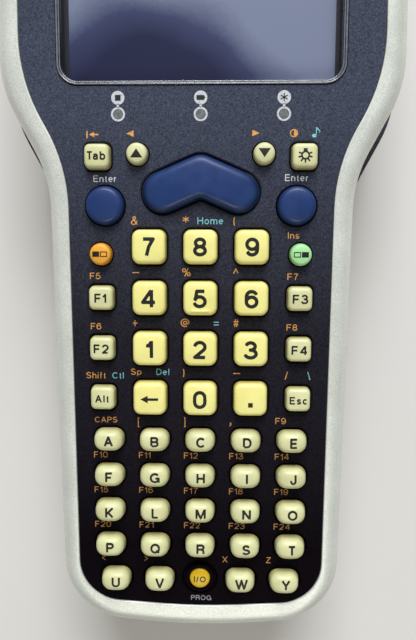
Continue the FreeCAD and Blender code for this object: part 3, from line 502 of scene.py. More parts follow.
def keyLayers(form):
    # (ring points in mm, height over the face in mm) from the flange's foot to the top's edge
    wall = form["height"] - form["shoulder"]
    foot = -keyBody["flangeTop"]
    rings = [(keyRing(form, -keyBody["flange"]), foot - keyBody["flangeDepth"])]
    rings.append((keyRing(form, -keyBody["flange"]), foot))
    rings.append((keyRing(form, 0), foot))
    rings.append((keyRing(form, 0), -keyBody["skirt"]))
    rings.append((keyRing(form, 0), 0.0))
    layers = [[(x, y, z) for x, y in ring] for ring, z in rings]
    count = keyBody["rings"]
    for i in range(count + 1):
        turn = math.pi / 2 * i / count
        inset = form["lean"] + form["shoulder"] * (1 - math.cos(turn))
        drop = form["shoulder"] * (1 - math.sin(turn))
        layer = []
        for x, y in keyRing(form, inset):
            crown = (x * x + y * y) / (2 * form["crown"])
            layer.append((x, y, wall + form["shoulder"] - drop - crown))
        layers.append(layer)
    return layers


def addKey(bm, form, x, y):
    layers = keyLayers(form)
    if "chevron" in form:
        start = form["lean"] + form["shoulder"]
        last = form["chevron"][0] - ridgeHalf
        flats = [keyRing(form, start + (last - start) * k / 5) for k in range(1, 6)]
    else:
        flats = [[(px * scale, py * scale) for px, py, pz in layers[-1]] for scale in (0.8, 0.6, 0.4, 0.2)]
    for flat in flats:
        layers.append([(px, py, form["height"] - (px * px + py * py) / (2 * form["crown"]))
                       for px, py in flat])
    rings = [[bm.verts.new((x + px * mm, y + py * mm, faceZ + pz * mm)) for px, py, pz in layer]
             for layer in layers]
    for low, high in zip(rings, rings[1:]):
        wallBetween(bm, low, high)
    bm.faces.new(list(reversed(rings[0])))
    if "chevron" in form:
        closeChevron(bm, rings[-1])
    else:
        centre = bm.verts.new((x, y, faceZ + form["height"] * mm))
        for a, b in zip(rings[-1], rings[-1][1:] + rings[-1][:1]):
            bm.faces.new((a, b, centre))


def closeChevron(bm, ring):
    # zips the upper side of the narrow last ring to its lower side, then closes the two ends
    quarter = len(ring) // 4  # peak, left end, notch and right end are equally long
    arcLength = chevronSteps + 1
    upper = ring[-(quarter - arcLength) - 1:] + ring[:quarter + 1]
    lower = list(reversed(ring[quarter + arcLength - 1:3 * quarter + 1]))
    for i in range(len(upper) - 1):
        bm.faces.new((upper[i], upper[i + 1], lower[i + 1], lower[i]))
    bm.faces.new(ring[quarter:quarter + arcLength])
    bm.faces.new(ring[3 * quarter:3 * quarter + arcLength])


keyNodes = {"key_scan": ("scan", "blue"), "key_enter_left": ("enter", "blue"),
            "key_enter_right": ("enter", "blue"), "key_orange_shift": ("shift", "orange"),
            "key_green_shift": ("shift", "green"), "key_up": ("arrow", "tan"), "key_down": ("arrow", "tan"),
            "key_tab": ("top", "tan"), "key_backlight": ("top", "tan"), "key_power": ("power", "yellow"),
            "key_backspace": ("number", "cream"), "key_point": ("number", "cream")}
for digit in range(10):
    keyNodes["key_%d" % digit] = ("number", "cream")
for name in ("f1", "f2", "f3", "f4", "alt", "esc"):
    keyNodes["key_" + name] = ("side", "tan")
letterRows = {"keys_a_to_e": "ABCDE", "keys_f_to_j": "FGHIJ", "keys_k_to_o": "KLMNO",
              "keys_p_to_t": "PQRST", "keys_u_to_y": "UVWY"}
lastRowPitch = 11.25 * mm
keyCentres = {}  # by key name or letter


def finishKey(bm, node, finish):
    piece = meshObject(node.replace("_", "") + "Cap", bm, finishes[finish])
    piece.data.materials.append(finishes["skirt"])
    # faces below the face level get near-black painted shade, seen in the gap round each key
    for polygon in piece.data.polygons:
        if polygon.center.z < faceZ - keyBody["skirt"] * mm:
            polygon.material_index = 1
    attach(piece, bodyOf(node))
    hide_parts(node)
    return piece


caps = {}
for node, (form, finish) in keyNodes.items():
    centre = centreOf(node)
    if form == "scan":
        lobe, reach, rise, notch = keyForms["scan"]["chevron"]
        low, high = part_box(node)
        centre.y = low.y + (lobe + keyBody["flange"]) * mm
    keyCentres[node] = (centre.x, centre.y)
    bm = bmesh.new()
    addKey(bm, keyForms[form], centre.x, centre.y)
    caps[node] = finishKey(bm, node, finish)
letterCap = keyForms["letter"]
letterHalf = (letterCap["size"][0] / 2 + keyBody["flange"]) * mm
for node, letters in letterRows.items():
    low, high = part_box(node)
    left = low.x + letterHalf
    right = high.x - letterHalf
    if len(letters) == 5:
        columns = [left + (right - left) * i / 4 for i in range(5)]
    else:
        columns = [left, left + lastRowPitch, right - lastRowPitch, right]
    bm = bmesh.new()
    for letter, x in zip(letters, columns):
        keyCentres[letter] = (x, (low.y + high.y) / 2)
        addKey(bm, letterCap, *keyCentres[letter])
    caps[node] = finishKey(bm, node, "tan")
print("keys made,", len(keyCentres))


homingBar = {"length": 4.4, "width": 0.75, "height": 0.3, "below": 3.0}  # ridge under the middle digit


def addHomingBar():
    x, y = keyCentres["key_5"]
    form = keyForms["number"]
    top = faceZ + (form["height"] - homingBar["below"] ** 2 / (2 * form["crown"])) * mm
    bm = bmesh.new()
    rings = []
    for inset, rise in ((0.0, -0.5), (0.0, 0.0), (0.08, 0.6), (0.22, 0.92), (0.34, 1.0)):
        ring = cornerRing(homingBar["length"] - 2 * inset, homingBar["width"] - 2 * inset,
                          homingBar["width"] / 2 - inset - 0.005, 6, 6)
        z = top + rise * homingBar["height"] * mm
        middle = y - homingBar["below"] * mm
        rings.append([bm.verts.new((x + px * mm, middle + py * mm, z)) for px, py in ring])
    for low, high in zip(rings, rings[1:]):
        wallBetween(bm, low, high)
    bm.faces.new(list(reversed(rings[0])))
    bm.faces.new(rings[-1])
    bar = meshObject("homingBar", bm, finishes["cream"])
    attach(bar, bodyOf("key_5"))


addHomingBar()


# printed legends

printing = {"thickness": 0.035 * mm, "sink": 0.02 * mm, "cut": 0.55 * mm, "fineness": 22}

# strokes of each character inside a unit square; four more numbers after a point's two make an arc:
# middle, radii, and start and end in degrees
lettering = {
    "0": (0.74, [[(.5, .66, .5, .34, 0, 180), (.5, .34, .5, .34, 180, 360), (1, .66)]]),
    "1": (0.46, [[(1, -.1), (1, 1.1)], [(0, .75), (.5, .76), (.95, 1.0)]]),
    "2": (0.74, [[(.5, .7, .5, .3, 172, -38), (0, 0), (1, 0)]]),
    "3": (0.74, [[(.46, .76, .44, .24, 165, -90), (.3, .52)], [(.46, .26, .54, .26, 90, -168)]]),
    "4": (0.80, [[(.74, 1.06), (0, .26), (1.08, .26)], [(.76, -.1), (.76, 1.1)]]),
    "5": (0.74, [[(.93, 1), (.2, 1), (.07, .47), (.47, .32, .53, .32, 145, -165)]]),
    "6": (0.74, [[(.5, .66, .5, .34, 22, 180), (0, .32)], [(.5, .32, .5, .32, 0, 360)]]),
    "7": (0.72, [[(0, 1), (1, 1), (.56, .5), (.33, -.1)]]),
    "8": (0.74, [[(.5, .76, .43, .24, 0, 360)], [(.5, .26, .5, .26, 0, 360)]]),
    "9": (0.74, [[(.5, .34, .5, .34, 202, 360), (1, .68)], [(.5, .68, .5, .32, 0, 360)]]),
    "A": (0.92, [[(0, -.1), (.5, 1.06), (1, -.1)], [(.18, .32), (.82, .32)]]),
    "B": (0.80, [[(0, 0), (0, 1), (.6, 1), (.6, .76, .34, .24, 90, -90), (0, .52)],
                 [(.62, .52), (.64, .26, .36, .26, 90, -90), (0, 0)]]),
    "C": (0.90, [[(.52, .5, .52, .5, 40, 320)]]),
    "D": (0.84, [[(0, 0), (0, 1), (.45, 1), (.45, .5, .55, .5, 90, -90), (0, 0)]]),
    "E": (0.74, [[(1.1, 1), (0, 1), (0, 0), (1.1, 0)], [(0, .52), (1, .52)]]),
    "F": (0.72, [[(1.1, 1), (0, 1), (0, -.1)], [(0, .5), (.96, .5)]]),
    "G": (0.96, [[(.52, .5, .52, .5, 40, 335)], [(.56, .45), (1, .45), (1, -.1)]]),
    "H": (0.82, [[(0, -.1), (0, 1.1)], [(1, -.1), (1, 1.1)], [(0, .52), (1, .52)]]),
    "I": (0.18, [[(.5, -.1), (.5, 1.1)]]),
    "J": (0.62, [[(1, 1.1), (1, .3), (.5, .3, .5, .3, 0, -180), (0, .36)]]),
    "K": (0.84, [[(0, -.1), (0, 1.1)], [(0, .32), (1, 1.1)], [(.32, .56), (1, -.1)]]),
    "L": (0.66, [[(0, 1.1), (0, 0), (1.1, 0)]]),
    "M": (1.00, [[(0, -.1), (0, 1.1)], [(1, -.1), (1, 1.1)], [(.04, 1.04), (.5, -.02), (.96, 1.04)]]),
    "N": (0.84, [[(0, -.1), (0, 1.1)], [(1, -.1), (1, 1.1)], [(.02, 1.02), (.98, -.02)]]),
    "O": (0.96, [[(.5, .5, .5, .5, 0, 360)]]),
    "P": (0.76, [[(0, -.1), (0, 1), (.6, 1), (.6, .74, .4, .26, 90, -90), (0, .48)]]),
    "Q": (0.96, [[(.5, .5, .5, .5, 0, 360)], [(.62, .28), (1, -.04)]]),
    "R": (0.82, [[(0, -.1), (0, 1), (.6, 1), (.6, .75, .38, .25, 90, -90), (0, .5)],
                 [(.6, .5), (.86, .42), (.94, .25), (.98, -.1)]]),
    "S": (0.80, [[(.5, .755, .44, .245, 20, 250), (.5, .25, .5, .25, 75, -162)]]),
    "T": (0.72, [[(-.1, 1), (1.1, 1)], [(.5, 1), (.5, -.1)]]),
    "U": (0.82, [[(0, 1.1), (0, .34), (.5, .34, .5, .34, 180, 360), (1, 1.1)]]),
    "V": (0.86, [[(-.03, 1.1), (.5, -.06), (1.03, 1.1)]]),
    "W": (1.22, [[(-.03, 1.1), (.25, -.05), (.5, 1.02), (.75, -.05), (1.03, 1.1)]]),
    "X": (0.84, [[(-.03, -.1), (1.03, 1.1)], [(-.03, 1.1), (1.03, -.1)]]),
    "Y": (0.86, [[(-.03, 1.1), (.5, .45), (1.03, 1.1)], [(.5, .45), (.5, -.1)]]),
    "Z": (0.78, [[(0, 1), (1, 1), (0, 0), (1.1, 0)]]),
    "a": (0.62, [[(.5, .46, .46, .22, 165, 0), (.96, -.1)],
                 [(.94, .38), (.42, .38), (.42, .19, .42, .19, 90, 330)]]),
    "b": (0.66, [[(0, -.1), (0, 1.1)], [(.5, .34, .5, .34, 0, 360)]]),
    "c": (0.62, [[(.52, .34, .52, .34, 40, 320)]]),
    "e": (0.66, [[(.02, .36), (.98, .36)], [(.5, .34, .5, .34, 2, 318)]]),
    "f": (0.40, [[(1.1, 1), (.75, 1), (.42, .82), (.42, -.1)], [(0, .68), (1, .68)]]),
    "h": (0.62, [[(0, -.1), (0, 1.1)], [(0, .4), (.5, .4, .5, .28, 180, 0), (1, -.1)]]),
    "i": (0.18, [[(.5, -.1), (.5, .74)], [(.5, .9), (.5, 1.1)]]),
    "l": (0.18, [[(.5, -.1), (.5, 1.1)]]),
    "m": (1.00, [[(0, -.1), (0, .74)], [(0, .42), (.25, .42, .25, .26, 180, 0), (.5, -.1)],
                 [(.5, .42), (.75, .42, .25, .26, 180, 0), (1, -.1)]]),
    "n": (0.62, [[(0, -.1), (0, .74)], [(0, .4), (.5, .4, .5, .28, 180, 0), (1, -.1)]]),
    "o": (0.68, [[(.5, .34, .5, .34, 0, 360)]]),
    "p": (0.66, [[(0, .74), (0, -.3)], [(.5, .34, .5, .34, 0, 360)]]),
    "r": (0.40, [[(0, -.1), (0, .74)], [(0, .36), (.3, .62), (1, .68)]]),
    "s": (0.58, [[(.5, .515, .44, .165, 22, 250), (.5, .165, .5, .165, 75, -162)]]),
    "t": (0.38, [[(.45, .92), (.45, .14), (.65, 0), (1.1, 0)], [(0, .68), (1, .68)]]),
    "&": (0.84, [[(1, -.04), (.27, .74), (.47, .82, .2, .18, 190, -50), (.36, .25, .36, .25, 115, 330),
                  (.98, .5)]]),
    "*": (0.86, [[(.5, .3), (.5, 1.05)], [(.0, .48), (1, .9)], [(1, .48), (.0, .9)]]),
    "(": (0.26, [[(1.3, .42, 1.3, .68, 125, 235)]]),
    ")": (0.26, [[(-.3, .42, 1.3, .68, 55, -55)]]),
    "-": (1.00, [[(0, .42), (1, .42)]]),
    "%": (1.00, [[(.2, .75, .2, .22, 0, 360)], [(.8, .25, .2, .22, 0, 360)], [(.28, -.05), (.74, 1.05)]]),
    "^": (0.64, [[(0, .35), (.5, 1), (1, .35)]]),
    "+": (0.72, [[(0, .42), (1, .42)], [(.5, .0), (.5, .84)]]),
    "@": (1.05, [[(.5, .5, .5, .5, -15, 300)], [(.5, .5, .2, .22, 0, 360)],
                 [(.72, .74), (.7, .35), (.98, .38)]]),
    "#": (0.78, [[(.28, -.02), (.42, 1.02)], [(.62, -.02), (.76, 1.02)], [(.05, .68), (1, .68)],
                 [(0, .32), (.95, .32)]]),
    "=": (0.76, [[(0, .6), (1, .6)], [(0, .24), (1, .24)]]),
    "/": (0.42, [[(0, -.1), (1, 1.1)]]),
    "\\": (0.42, [[(1, -.1), (0, 1.1)]]),
    "<": (0.66, [[(1, .84), (0, .42), (1, .0)]]),
    ">": (0.66, [[(0, .84), (1, .42), (0, .0)]]),
    "[": (0.28, [[(1, 1), (0, 1), (0, -.25), (1, -.25)]]),
    "]": (0.28, [[(0, 1), (1, 1), (1, -.25), (0, -.25)]]),
    ",": (0.4, [[(.2, .12), (.8, .12)], [(.2, .02), (.8, .02), (.62, -.15), (.15, -.32)]]),
}
belowLine = "p,[]()"  # characters that reach under the line the others stand on
strokeArcSteps = 20


def strokePoints(stroke, width, weight):
    # one stroke's centre line, scaled to the character's width with half a stroke kept free all round
    line = []
    for item in stroke:
        if len(item) == 2:
            line.append(item)
        else:
            cx, cy, rx, ry, start, end = item
            steps = max(4, int(strokeArcSteps * abs(end - start) / 360))
            turns = [math.radians(start + (end - start) * i / steps) for i in range(steps + 1)]
            line += [(cx + rx * math.cos(a), cy + ry * math.sin(a)) for a in turns]
    return [(weight / 2 + x * (width - weight), weight / 2 + y * (1 - weight)) for x, y in line]


def strokeDistance(x, y, line):
    # distance to a centre line with square ends
    nearest = 9.0
    last = len(line) - 2
    for i in range(last + 1):
        ax, ay = line[i]
        ux, uy = line[i + 1][0] - ax, line[i + 1][1] - ay
        length = math.hypot(ux, uy)
        if length < 1e-6:
            continue
        along = ((x - ax) * ux + (y - ay) * uy) / length
        off = abs((x - ax) * uy - (y - ay) * ux) / length
        if along < 0:
            away = math.hypot(along, off) if i else max(off, -along + 9.0)
        elif along > length:
            away = math.hypot(along - length, off) if i < last else max(off, along - length + 9.0)
        else:
            away = off
        nearest = min(nearest, away)
    return nearest


def fillInside(bm, inside, low, high, step, place):
    # faces over the part of a grid where inside() is negative, with its edge run smoothly through the cells
    columns = int((high[0] - low[0]) / step) + 2
    rows = int((high[1] - low[1]) / step) + 2
    value = {}
    for i in range(columns + 1):
        for j in range(rows + 1):
            value[i, j] = inside(low[0] + i * step, low[1] + j * step)
    made = {}

    def vert(a, b):
        key = (min(a, b), max(a, b))
        if key not in made:
            share = 0.0 if a == b else value[key[0]] / (value[key[0]] - value[key[1]])
            (ai, aj), (bi, bj) = key
            made[key] = bm.verts.new(place(low[0] + (ai + (bi - ai) * share) * step,
                                           low[1] + (aj + (bj - aj) * share) * step))
        return made[key]

    for i in range(columns):
        for j in range(rows):
            corners = [(i, j), (i + 1, j), (i + 1, j + 1), (i, j + 1)]
            loop = []
            for a, b in zip(corners, corners[1:] + corners[:1]):
                if value[a] < 0:
                    loop.append(vert(a, a))
                if (value[a] < 0) != (value[b] < 0):
                    loop.append(vert(a, b))
            if len(loop) > 2:
                bm.faces.new(loop)


kerning = {"Ta": -0.15, "F1": -0.09, "11": -0.05}  # pairs that stand closer than the others
letterGap = 0.18


def gapAfter(text, i):
    return letterGap + kerning.get(text[i:i + 2], 0.0)


def letterMesh(text, capHeight, weight, align="CENTER"):
    # flat outline of a text, in metres, about its middle or from its left end
    length = sum(lettering[c][0] + gapAfter(text, i) for i, c in enumerate(text)) - letterGap
    start = -length / 2 if align == "CENTER" else 0.0
    bm = bmesh.new()
    for i, c in enumerate(text):
        width, strokes = lettering[c]
        lines = [strokePoints(stroke, width, weight) for stroke in strokes]
        floor = -0.32 if c in belowLine else 0.0

        def inside(x, y):
            ink = min(strokeDistance(x, y, line) for line in lines) - weight / 2
            return max(ink, floor - y, y - 1.0)

        def place(x, y, left=start):
            return ((left + x) * capHeight * mm, (y - 0.5) * capHeight * mm, 0)

        fillInside(bm, inside, (-0.08, floor - 0.04), (width + 0.08, 1.04), 1 / printing["fineness"], place)
        start += width + gapAfter(text, i)
    return bm


def cutFinely(bm):
    # divides large flat shapes so that they can follow a curved top
    bmesh.ops.triangulate(bm, faces=bm.faces)
    for axis in (0, 1):
        values = [v.co[axis] for v in bm.verts]
        step = printing["cut"]
        place = math.floor(min(values) / step) * step
        while place < max(values):
            normal = Vector((1, 0, 0)) if axis == 0 else Vector((0, 1, 0))
            everything = bm.verts[:] + bm.edges[:] + bm.faces[:]
            bmesh.ops.bisect_plane(bm, geom=everything, plane_co=normal * place, plane_no=normal, dist=1e-7)
            place += step


def shapeMesh(outlines):
    # flat shapes from outlines in millimetres; an outline with a hole is given as (outer, inner)
    bm = bmesh.new()
    for outline in outlines:
        if isinstance(outline[0][0], (tuple, list)):
            outer, inner = outline
            a = [bm.verts.new((x * mm, y * mm, 0)) for x, y in outer]
            b = [bm.verts.new((x * mm, y * mm, 0)) for x, y in inner]
            wallBetween(bm, a, b)
        else:
            bm.faces.new([bm.verts.new((x * mm, y * mm, 0)) for x, y in outline])
    cutFinely(bm)
    return bm


def shifted(points, dx, dy):
    return [(x + dx, y + dy) for x, y in points]


def turned(points, degrees):
    c, s = math.cos(math.radians(degrees)), math.sin(math.radians(degrees))
    return [(x * c - y * s, x * s + y * c) for x, y in points]


def settle(bm, x, y, heightAt):
    # gives a flat print its thickness and lays it on the surface below
    bmesh.ops.remove_doubles(bm, verts=bm.verts, dist=1e-6)
    bmesh.ops.recalc_face_normals(bm, faces=bm.faces)
    if bm.faces and sum(f.normal.z for f in bm.faces) < 0:
        bmesh.ops.reverse_faces(bm, faces=bm.faces)
    under = bm.faces[:]
    raised = bmesh.ops.extrude_face_region(bm, geom=under)
    top = {v for v in raised["geom"] if isinstance(v, bmesh.types.BMVert)}
    for vert in bm.verts:
        px, py = vert.co.x + x, vert.co.y + y
        side = printing["thickness"] if vert in top else -printing["sink"]
        vert.co = (px, py, heightAt(px, py) + side)
    bmesh.ops.reverse_faces(bm, faces=[f for f in under if f.is_valid and f.normal.z > 0])


def joinInto(target, bm):
    mesh = bpy.data.meshes.new("part")
    bm.to_mesh(mesh)
    bm.free()
    target.from_mesh(mesh)
    bpy.data.meshes.remove(mesh)


def printOnFace(target, bm, x, y, lift=0.0):
    settle(bm, x, y, lambda px, py: faceZ + lift)
    joinInto(target, bm)


def topOf(node):
    tree = BVHTree.FromObject(caps[node], bpy.context.evaluated_depsgraph_get())

    def heightAt(x, y):
        hit = tree.ray_cast(Vector((x, y, faceZ + 10 * mm)), Vector((0, 0, -1)))
        return hit[0].z if hit[0] else faceZ

    return heightAt


def arrowLeft(length, head, shaft):
    # arrow pointing left about its middle
    h = head / 2
    s = shaft / 2
    neck = -length / 2 + head * 0.95
    end = length / 2
    return [(-end, 0), (neck, -h), (neck, -s), (end, -s), (end, s), (neck, s), (neck, h)]


def triangle(width, height, turn):
    return turned([(0, height / 2), (-width / 2, -height / 2), (width / 2, -height / 2)], turn)


def box2d(width, height, x=0.0, y=0.0):
    return shifted([(-width / 2, -height / 2), (width / 2, -height / 2), (width / 2, height / 2),
                    (-width / 2, height / 2)], x, y)


def hollowBox(width, height, line, x=0.0, y=0.0):
    return (box2d(width, height, x, y), box2d(width - 2 * line, height - 2 * line, x, y))


def ring2d(outer, inner, x=0.0, y=0.0):
    return (shifted(circleRing(outer, 28), x, y), shifted(circleRing(inner, 28), x, y))


def lampIcon():
    # lamp with rays all round and a socket above
    shapes = [ring2d(1.05, 0.66), box2d(0.95, 0.62, 0, 1.3)]
    ray = [(1.05, -0.18), (1.7, -0.18), (1.7, 0.18), (1.05, 0.18)]
    return shapes + [turned(ray, -90 + (i - 3) * 38) for i in range(7)]


digitInk = {"cap": 4.55, "weight": 0.185}
letterInk = {"cap": 2.6, "weight": 0.205, "across": 0.3, "along": 0.2}  # off the middle of the domes
wordInk = {"f1": ("F1", 2.3), "f2": ("F2", 2.3), "f3": ("F3", 2.3), "f4": ("F4", 2.3), "alt": ("Alt", 1.9),
           "esc": ("Esc", 1.9), "tab": ("Tab", 2.05)}
wordWeight = 0.19
keyPictures = {
    "key_up": [triangle(2.9, 2.1, 0)],
    "key_down": [triangle(2.9, 2.1, 180)],
    "key_backspace": [arrowLeft(4.4, 1.9, 0.62)],
    "key_point": [box2d(1.15, 1.15, 0, -1.2)],
    "key_backlight": lampIcon(),
    "key_orange_shift": [box2d(1.7, 1.3, -0.95, 0), hollowBox(1.7, 1.3, 0.22, 0.95, 0)],
    "key_green_shift": [hollowBox(1.7, 1.3, 0.22, -0.95, 0), box2d(1.7, 1.3, 0.95, 0)],
}


def keyLegend(node, prints):
    heightAt = topOf(node)
    joined = bmesh.new()
    for flat, x, y in prints:
        settle(flat, x, y, heightAt)
        joinInto(joined, flat)
    legend = meshObject(node.replace("_", "") + "Legend", joined, finishes["blackInk"], smooth=False)
    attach(legend, bodyOf(node))


keySlots = {node: "key_" + finish for node, (form, finish) in keyNodes.items()}
keySlots.update({node: "key_tan" for node in letterRows})
for digit in range(10):
    node = "key_%d" % digit
    x, y = keyCentres[node]
    keyLegend(node, [(letterMesh(str(digit), digitInk["cap"], digitInk["weight"]), x, y)])
for name, (word, cap) in wordInk.items():
    node = "key_" + name
    x, y = keyCentres[node]
    keyLegend(node, [(letterMesh(word, cap, wordWeight), x, y)])
for node, shapes in keyPictures.items():
    x, y = keyCentres[node]
    keyLegend(node, [(shapeMesh(shapes), x, y)])
x, y = keyCentres["key_power"]
keyLegend("key_power", [(letterMesh("I/O", 1.6, 0.17), x, y)])
for node, letters in letterRows.items():
    prints = []
    for letter in letters:
        x, y = keyCentres[letter]
        prints.append((letterMesh(letter, letterInk["cap"], letterInk["weight"]),
                       x + letterInk["across"] * mm, y + letterInk["along"] * mm))
    keyLegend(node, prints)
print("key legends made")


faceInk = {"cap": 1.6, "weight": 0.135, "signCap": 2.1, "signWeight": 0.115, "signs": "&*(%^+@#)-[],/\\="}
numberRow = (-4.5, 6.35)  # where a legend starts from its key's middle, in millimetres
letterRow = (-4.1, 4.95)
sideRow = (-3.0, 5.35)
orangeWords = [("key_2", "@", (-4.9, 6.35)), ("key_backspace", "Sp", (-4.9, 6.45)),
               ("key_alt", "Shift", (-4.4, 5.45)), ("key_esc", "/", (-3.3, 5.75)),
               ("key_green_shift", "Ins", (-3.1, 4.65)), ("A", "CAPS", (-3.7, 4.85), 1.45),
               ("B", "[", (-4.3, 4.5)), ("C", "]", (-4.3, 4.6)), ("D", ",", (-4.3, 5.0)),
               ("U", "<", (-3.9, 5.1)), ("V", ">", (-4.1, 5.1)), ("W", "X", (-4.6, 5.1)),
               ("Y", "Z", (-4.6, 5.1))]
for i, letter in enumerate("EFGHIJKLMNOPQRST"):
    orangeWords.append((letter, "F%d" % (9 + i), letterRow))
for name, sign in zip(("7", "8", "9", "4", "5", "6", "1", "3", "0", "point"), "&*(-%^+#)-"):
    orangeWords.append(("key_" + name, sign, numberRow))
for i in range(4):
    orangeWords.append(("key_f%d" % (i + 1), "F%d" % (i + 5), sideRow))
blueWords = [("key_8", "Home", (-0.75, 6.35), 1.7), ("key_2", "=", (3.1, 6.35)),
             ("key_alt", "Ctl", (2.2, 5.45)),
             ("key_backspace", "Del", (1.5, 6.45)), ("key_esc", "\\", (2.3, 5.75))]
whiteWords = [("key_enter_left", "Enter", (-2.8, 6.5)), ("key_enter_right", "Enter", (-2.9, 6.7)),
              ("key_power", "PROG", (-2.3, -5.5), 1.3)]


def musicNote(x, y):
    head = [(0.55 * a - 0.35, 0.42 * b - 0.8) for a, b in circleRing(1, 20)]
    tail = [(0.2, 1.2), (0.2, 0.75), (0.85, 0.2), (0.75, -0.3), (1.05, 0.3)]
    return [shifted(shape, x, y) for shape in (head, box2d(0.2, 2.1, 0.12, 0.15), tail)]


def contrastIcon(x, y):
    turns = [math.radians(-90 + 180 * i / 14) for i in range(15)]
    return [ring2d(0.95, 0.72, x, y), [(0.75 * math.cos(a) + x, 0.75 * math.sin(a) + y) for a in turns]]


orangeShapes = {"key_tab": [box2d(0.3, 1.7, -2.55, 5.3), shifted(arrowLeft(2.2, 1.25, 0.32), -0.95, 5.3)],
                "key_up": [shifted(triangle(1.5, 1.75, 90), -1.8, 4.9)],
                "key_down": [shifted(triangle(1.5, 1.75, -90), -2.0, 4.95)],
                "key_backlight": contrastIcon(-2.55, 5.5)}
blueShapes = {"key_backlight": musicNote(2.65, 5.7)}


def facePrint(name, words, shapes, finish):
    joined = bmesh.new()
    for key, text, (dx, dy), *cap in words:
        x, y = keyCentres[key]
        if text in faceInk["signs"]:
            flat = letterMesh(text, faceInk["signCap"], faceInk["signWeight"], "LEFT")
        else:
            flat = letterMesh(text, cap[0] if cap else faceInk["cap"], faceInk["weight"], "LEFT")
        printOnFace(joined, flat, x + dx * mm, y + dy * mm)
    for key, outlines in shapes.items():
        printOnFace(joined, shapeMesh(outlines), *keyCentres[key])
    piece = meshObject(name, joined, finishes[finish], smooth=False)
    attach(piece, bodyOf("front_housing"))


facePrint("orangeFaceLegends", orangeWords, orangeShapes, "orangeInk")
facePrint("blueFaceLegends", blueWords, blueShapes, "blueInk")
facePrint("whiteFaceLegends", whiteWords, {}, "whiteInk")
print("face legends made")


indicator = {"ring": (1.68, 1.2), "disc": 1.6, "rise": 3.8, "neck": 0.55}  # printed surround of each lens


def indicatorPrints():
    low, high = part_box("indicator_lenses")
    y = (low.y + high.y) / 2
    inset = (high.y - low.y) / 2
    columns = [low.x + inset, (low.x + high.x) / 2, high.x - inset]
    white = bmesh.new()
    black = bmesh.new()
    outer, inner = indicator["ring"]
    rise = indicator["rise"]
    tag = [(-1.0, -0.55), (0.75, -0.55), (1.1, 0), (0.75, 0.55), (-1.0, 0.55)]
    star = [turned(box2d(0.24, 1.9), turn) for turn in (0, 60, 120)]
    disc = indicator["disc"]
    neck = box2d(indicator["neck"], rise - outer - disc + 0.3, 0, (rise + outer - disc) / 2)
    for x, icon in zip(columns, ([box2d(1.35, 1.35)], [tag], star)):
        printOnFace(white, shapeMesh([ring2d(outer, inner), neck]), x, y)
        printOnFace(white, shapeMesh([circleRing(disc, 32)]), x, y + rise * mm)
        printOnFace(black, shapeMesh(icon), x, y + rise * mm, printing["thickness"])
    prints = (("indicatorSurrounds", white, "whiteInk"), ("indicatorIcons", black, "blackInk"))
    for name, bm, finish in prints:
        piece = meshObject(name, bm, finishes[finish], smooth=False)
        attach(piece, bodyOf("front_housing"))


indicatorPrints()
print("indicator prints made")


displayArea = {"width": 64.6, "height": 48.4, "thickness": 0.12, "corner": 0.4}  # lit part of the panel


def addDisplay():
    low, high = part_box("lcd_panel")
    x, y = (low.x + high.x) / 2, (low.y + high.y) / 2
    ring = cornerRing(displayArea["width"], displayArea["height"], displayArea["corner"], 3, 2)
    bm = bmesh.new()
    lower = [bm.verts.new((x + px * mm, y + py * mm, high.z - 0.05 * mm)) for px, py in ring]
    upper = [bm.verts.new((v.co.x, v.co.y, high.z + displayArea["thickness"] * mm)) for v in lower]
    wallBetween(bm, lower, upper)
    bm.faces.new(list(reversed(lower)))
    bm.faces.new(upper)
    piece = meshObject("displayArea", bm, finishes["display"], smooth=False)
    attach(piece, bodyOf("lcd_panel"))


addDisplay()


bezelLip = {  # millimetres: outline corner, bands of the section dark with painted shade, and its (distance in, height) points
    "corner": 4.9, "dark": ((-1.0, 0.07), (0.5, 0.68), (0.9, 2.0)),
    "section": [(0.0, -0.2), (0.0, 0.06), (0.03, 0.17), (0.1, 0.27), (0.2, 0.33), (0.31, 0.35),
                (0.42, 0.31), (0.5, 0.22), (0.55, 0.13), (0.6, 0.1), (0.66, 0.13), (0.74, 0.17),
                (0.84, 0.16), (0.94, 0.08), (1.02, -0.08), (1.08, -0.35), (1.14, -0.8)],
}


def addBezel():
    # two polished ridges round the display opening, with a fine groove between them; the ridge tops are
    # light grey as painted highlight, the groove and the slopes near-black as painted shade
    low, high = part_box("display_bezel")
    x, y = (low.x + high.x) / 2, (low.y + high.y) / 2
    foot = (low.z - faceZ) / mm
    section = [(0.0, foot)] + bezelLip["section"] + [(1.18, foot)]
    bm = bmesh.new()
    rings = []
    for inset, rise in section:
        ring = cornerRing((high.x - low.x) / mm - 2 * inset, (high.y - low.y) / mm - 2 * inset,
                          bezelLip["corner"] - inset, 12, 6)
        rings.append([bm.verts.new((x + px * mm, y + py * mm, faceZ + rise * mm)) for px, py in ring])
    for k, (inner, outer) in enumerate(zip(rings, rings[1:] + rings[:1])):
        middle = (section[k][0] + section[(k + 1) % len(section)][0]) / 2
        # bands in painted shade get the near-black material
        dark = any(start < middle < end for start, end in bezelLip["dark"])
        wallBetween(bm, inner, outer, int(dark))
    lip = meshObject("bezelLip", bm, finishes["bezel"])
    lip.data.materials.append(finishes["bezelPaintedShade"])
    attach(lip, bodyOf("display_bezel"))
    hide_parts("display_bezel")


addBezel()
print("display made")


# stage, light and camera

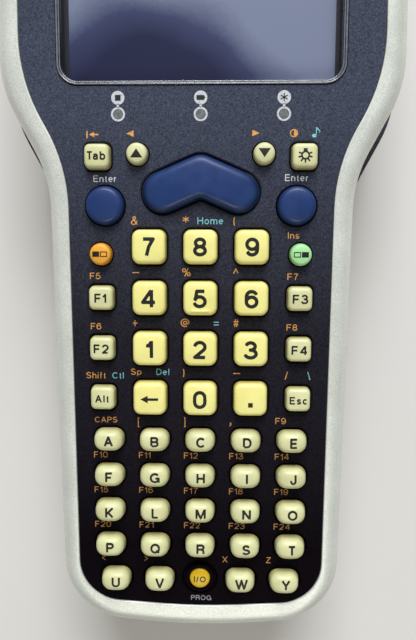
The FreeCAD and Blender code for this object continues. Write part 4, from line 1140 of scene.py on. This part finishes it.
room = {"floor": 3.0, "floorColour": colour(226, 222, 216), "worldColour": colour(214, 220, 228),
        "worldPower": 0.23}
lamps = [  # name, place, size, watts, colour
    ("skyPanel", (0.1, 1.35, 0.95), 0.9, 36.0, colour(246, 250, 255)),
    ("leftPanel", (-1.1, 0.1, 0.8), 0.6, 0.5, colour(255, 250, 242)),
    ("basePanel", (0.05, -0.8, 0.95), 0.5, 4.4, colour(252, 248, 236)),
]


def makeStage():
    bm = bmesh.new()
    half = room["floor"] / 2
    bmesh.ops.create_grid(bm, x_segments=8, y_segments=8, size=half)
    material, shader = newMaterial("paleFloor", 0.7)
    tone = noise(material, 6.0, 3.0, 0.5)
    pale = room["floorColour"]
    link(material, ramp(material, tone, [(0.3, tuple(c * 0.96 for c in pale[:3]) + (1,)), (0.7, pale)]),
         shader.inputs["Base Color"])
    floor = meshObject("floor", bm, material, smooth=False)
    world = bpy.data.worlds.new("softRoom")
    world.use_nodes = True
    world.node_tree.nodes["Background"].inputs["Color"].default_value = room["worldColour"]
    world.node_tree.nodes["Background"].inputs["Strength"].default_value = room["worldPower"]
    scene.world = world
    for name, place, size, watts, shade in lamps:
        light = bpy.data.lights.new(name, "AREA")
        light.size = size
        light.energy = watts
        light.color = shade[:3]
        lamp = bpy.data.objects.new(name, light)
        lamp.location = place
        lamp.rotation_euler = (Vector((0, -0.02, 0)) - Vector(place)).to_track_quat("-Z", "Y").to_euler()
        scene.collection.objects.link(lamp)
    scene.view_settings.view_transform = "Standard"


# millimetres from the top middle digit key, degrees, and the lens
view = {"across": 6.2, "along": -1.5, "height": 147.5, "tip": 6.35, "swing": 1.66, "roll": 0.36,
        "lens": 33.75}


def makeCamera():
    # stands over the keypad, tipped a little towards the base
    data = bpy.data.cameras.new("camera")
    data.lens = view["lens"]
    data.sensor_width = 36
    data.clip_start = 0.01
    camera = bpy.data.objects.new("camera", data)
    x, y = keyCentres["key_8"]
    camera.location = (x + view["across"] * mm, y + view["along"] * mm, faceZ + view["height"] * mm)
    camera.rotation_mode = "ZYX"
    camera.rotation_euler = [math.radians(a) for a in (-view["tip"], view["swing"], view["roll"])]
    scene.collection.objects.link(camera)
    scene.camera = camera


makeStage()
makeCamera()
print("stage, light and camera made")
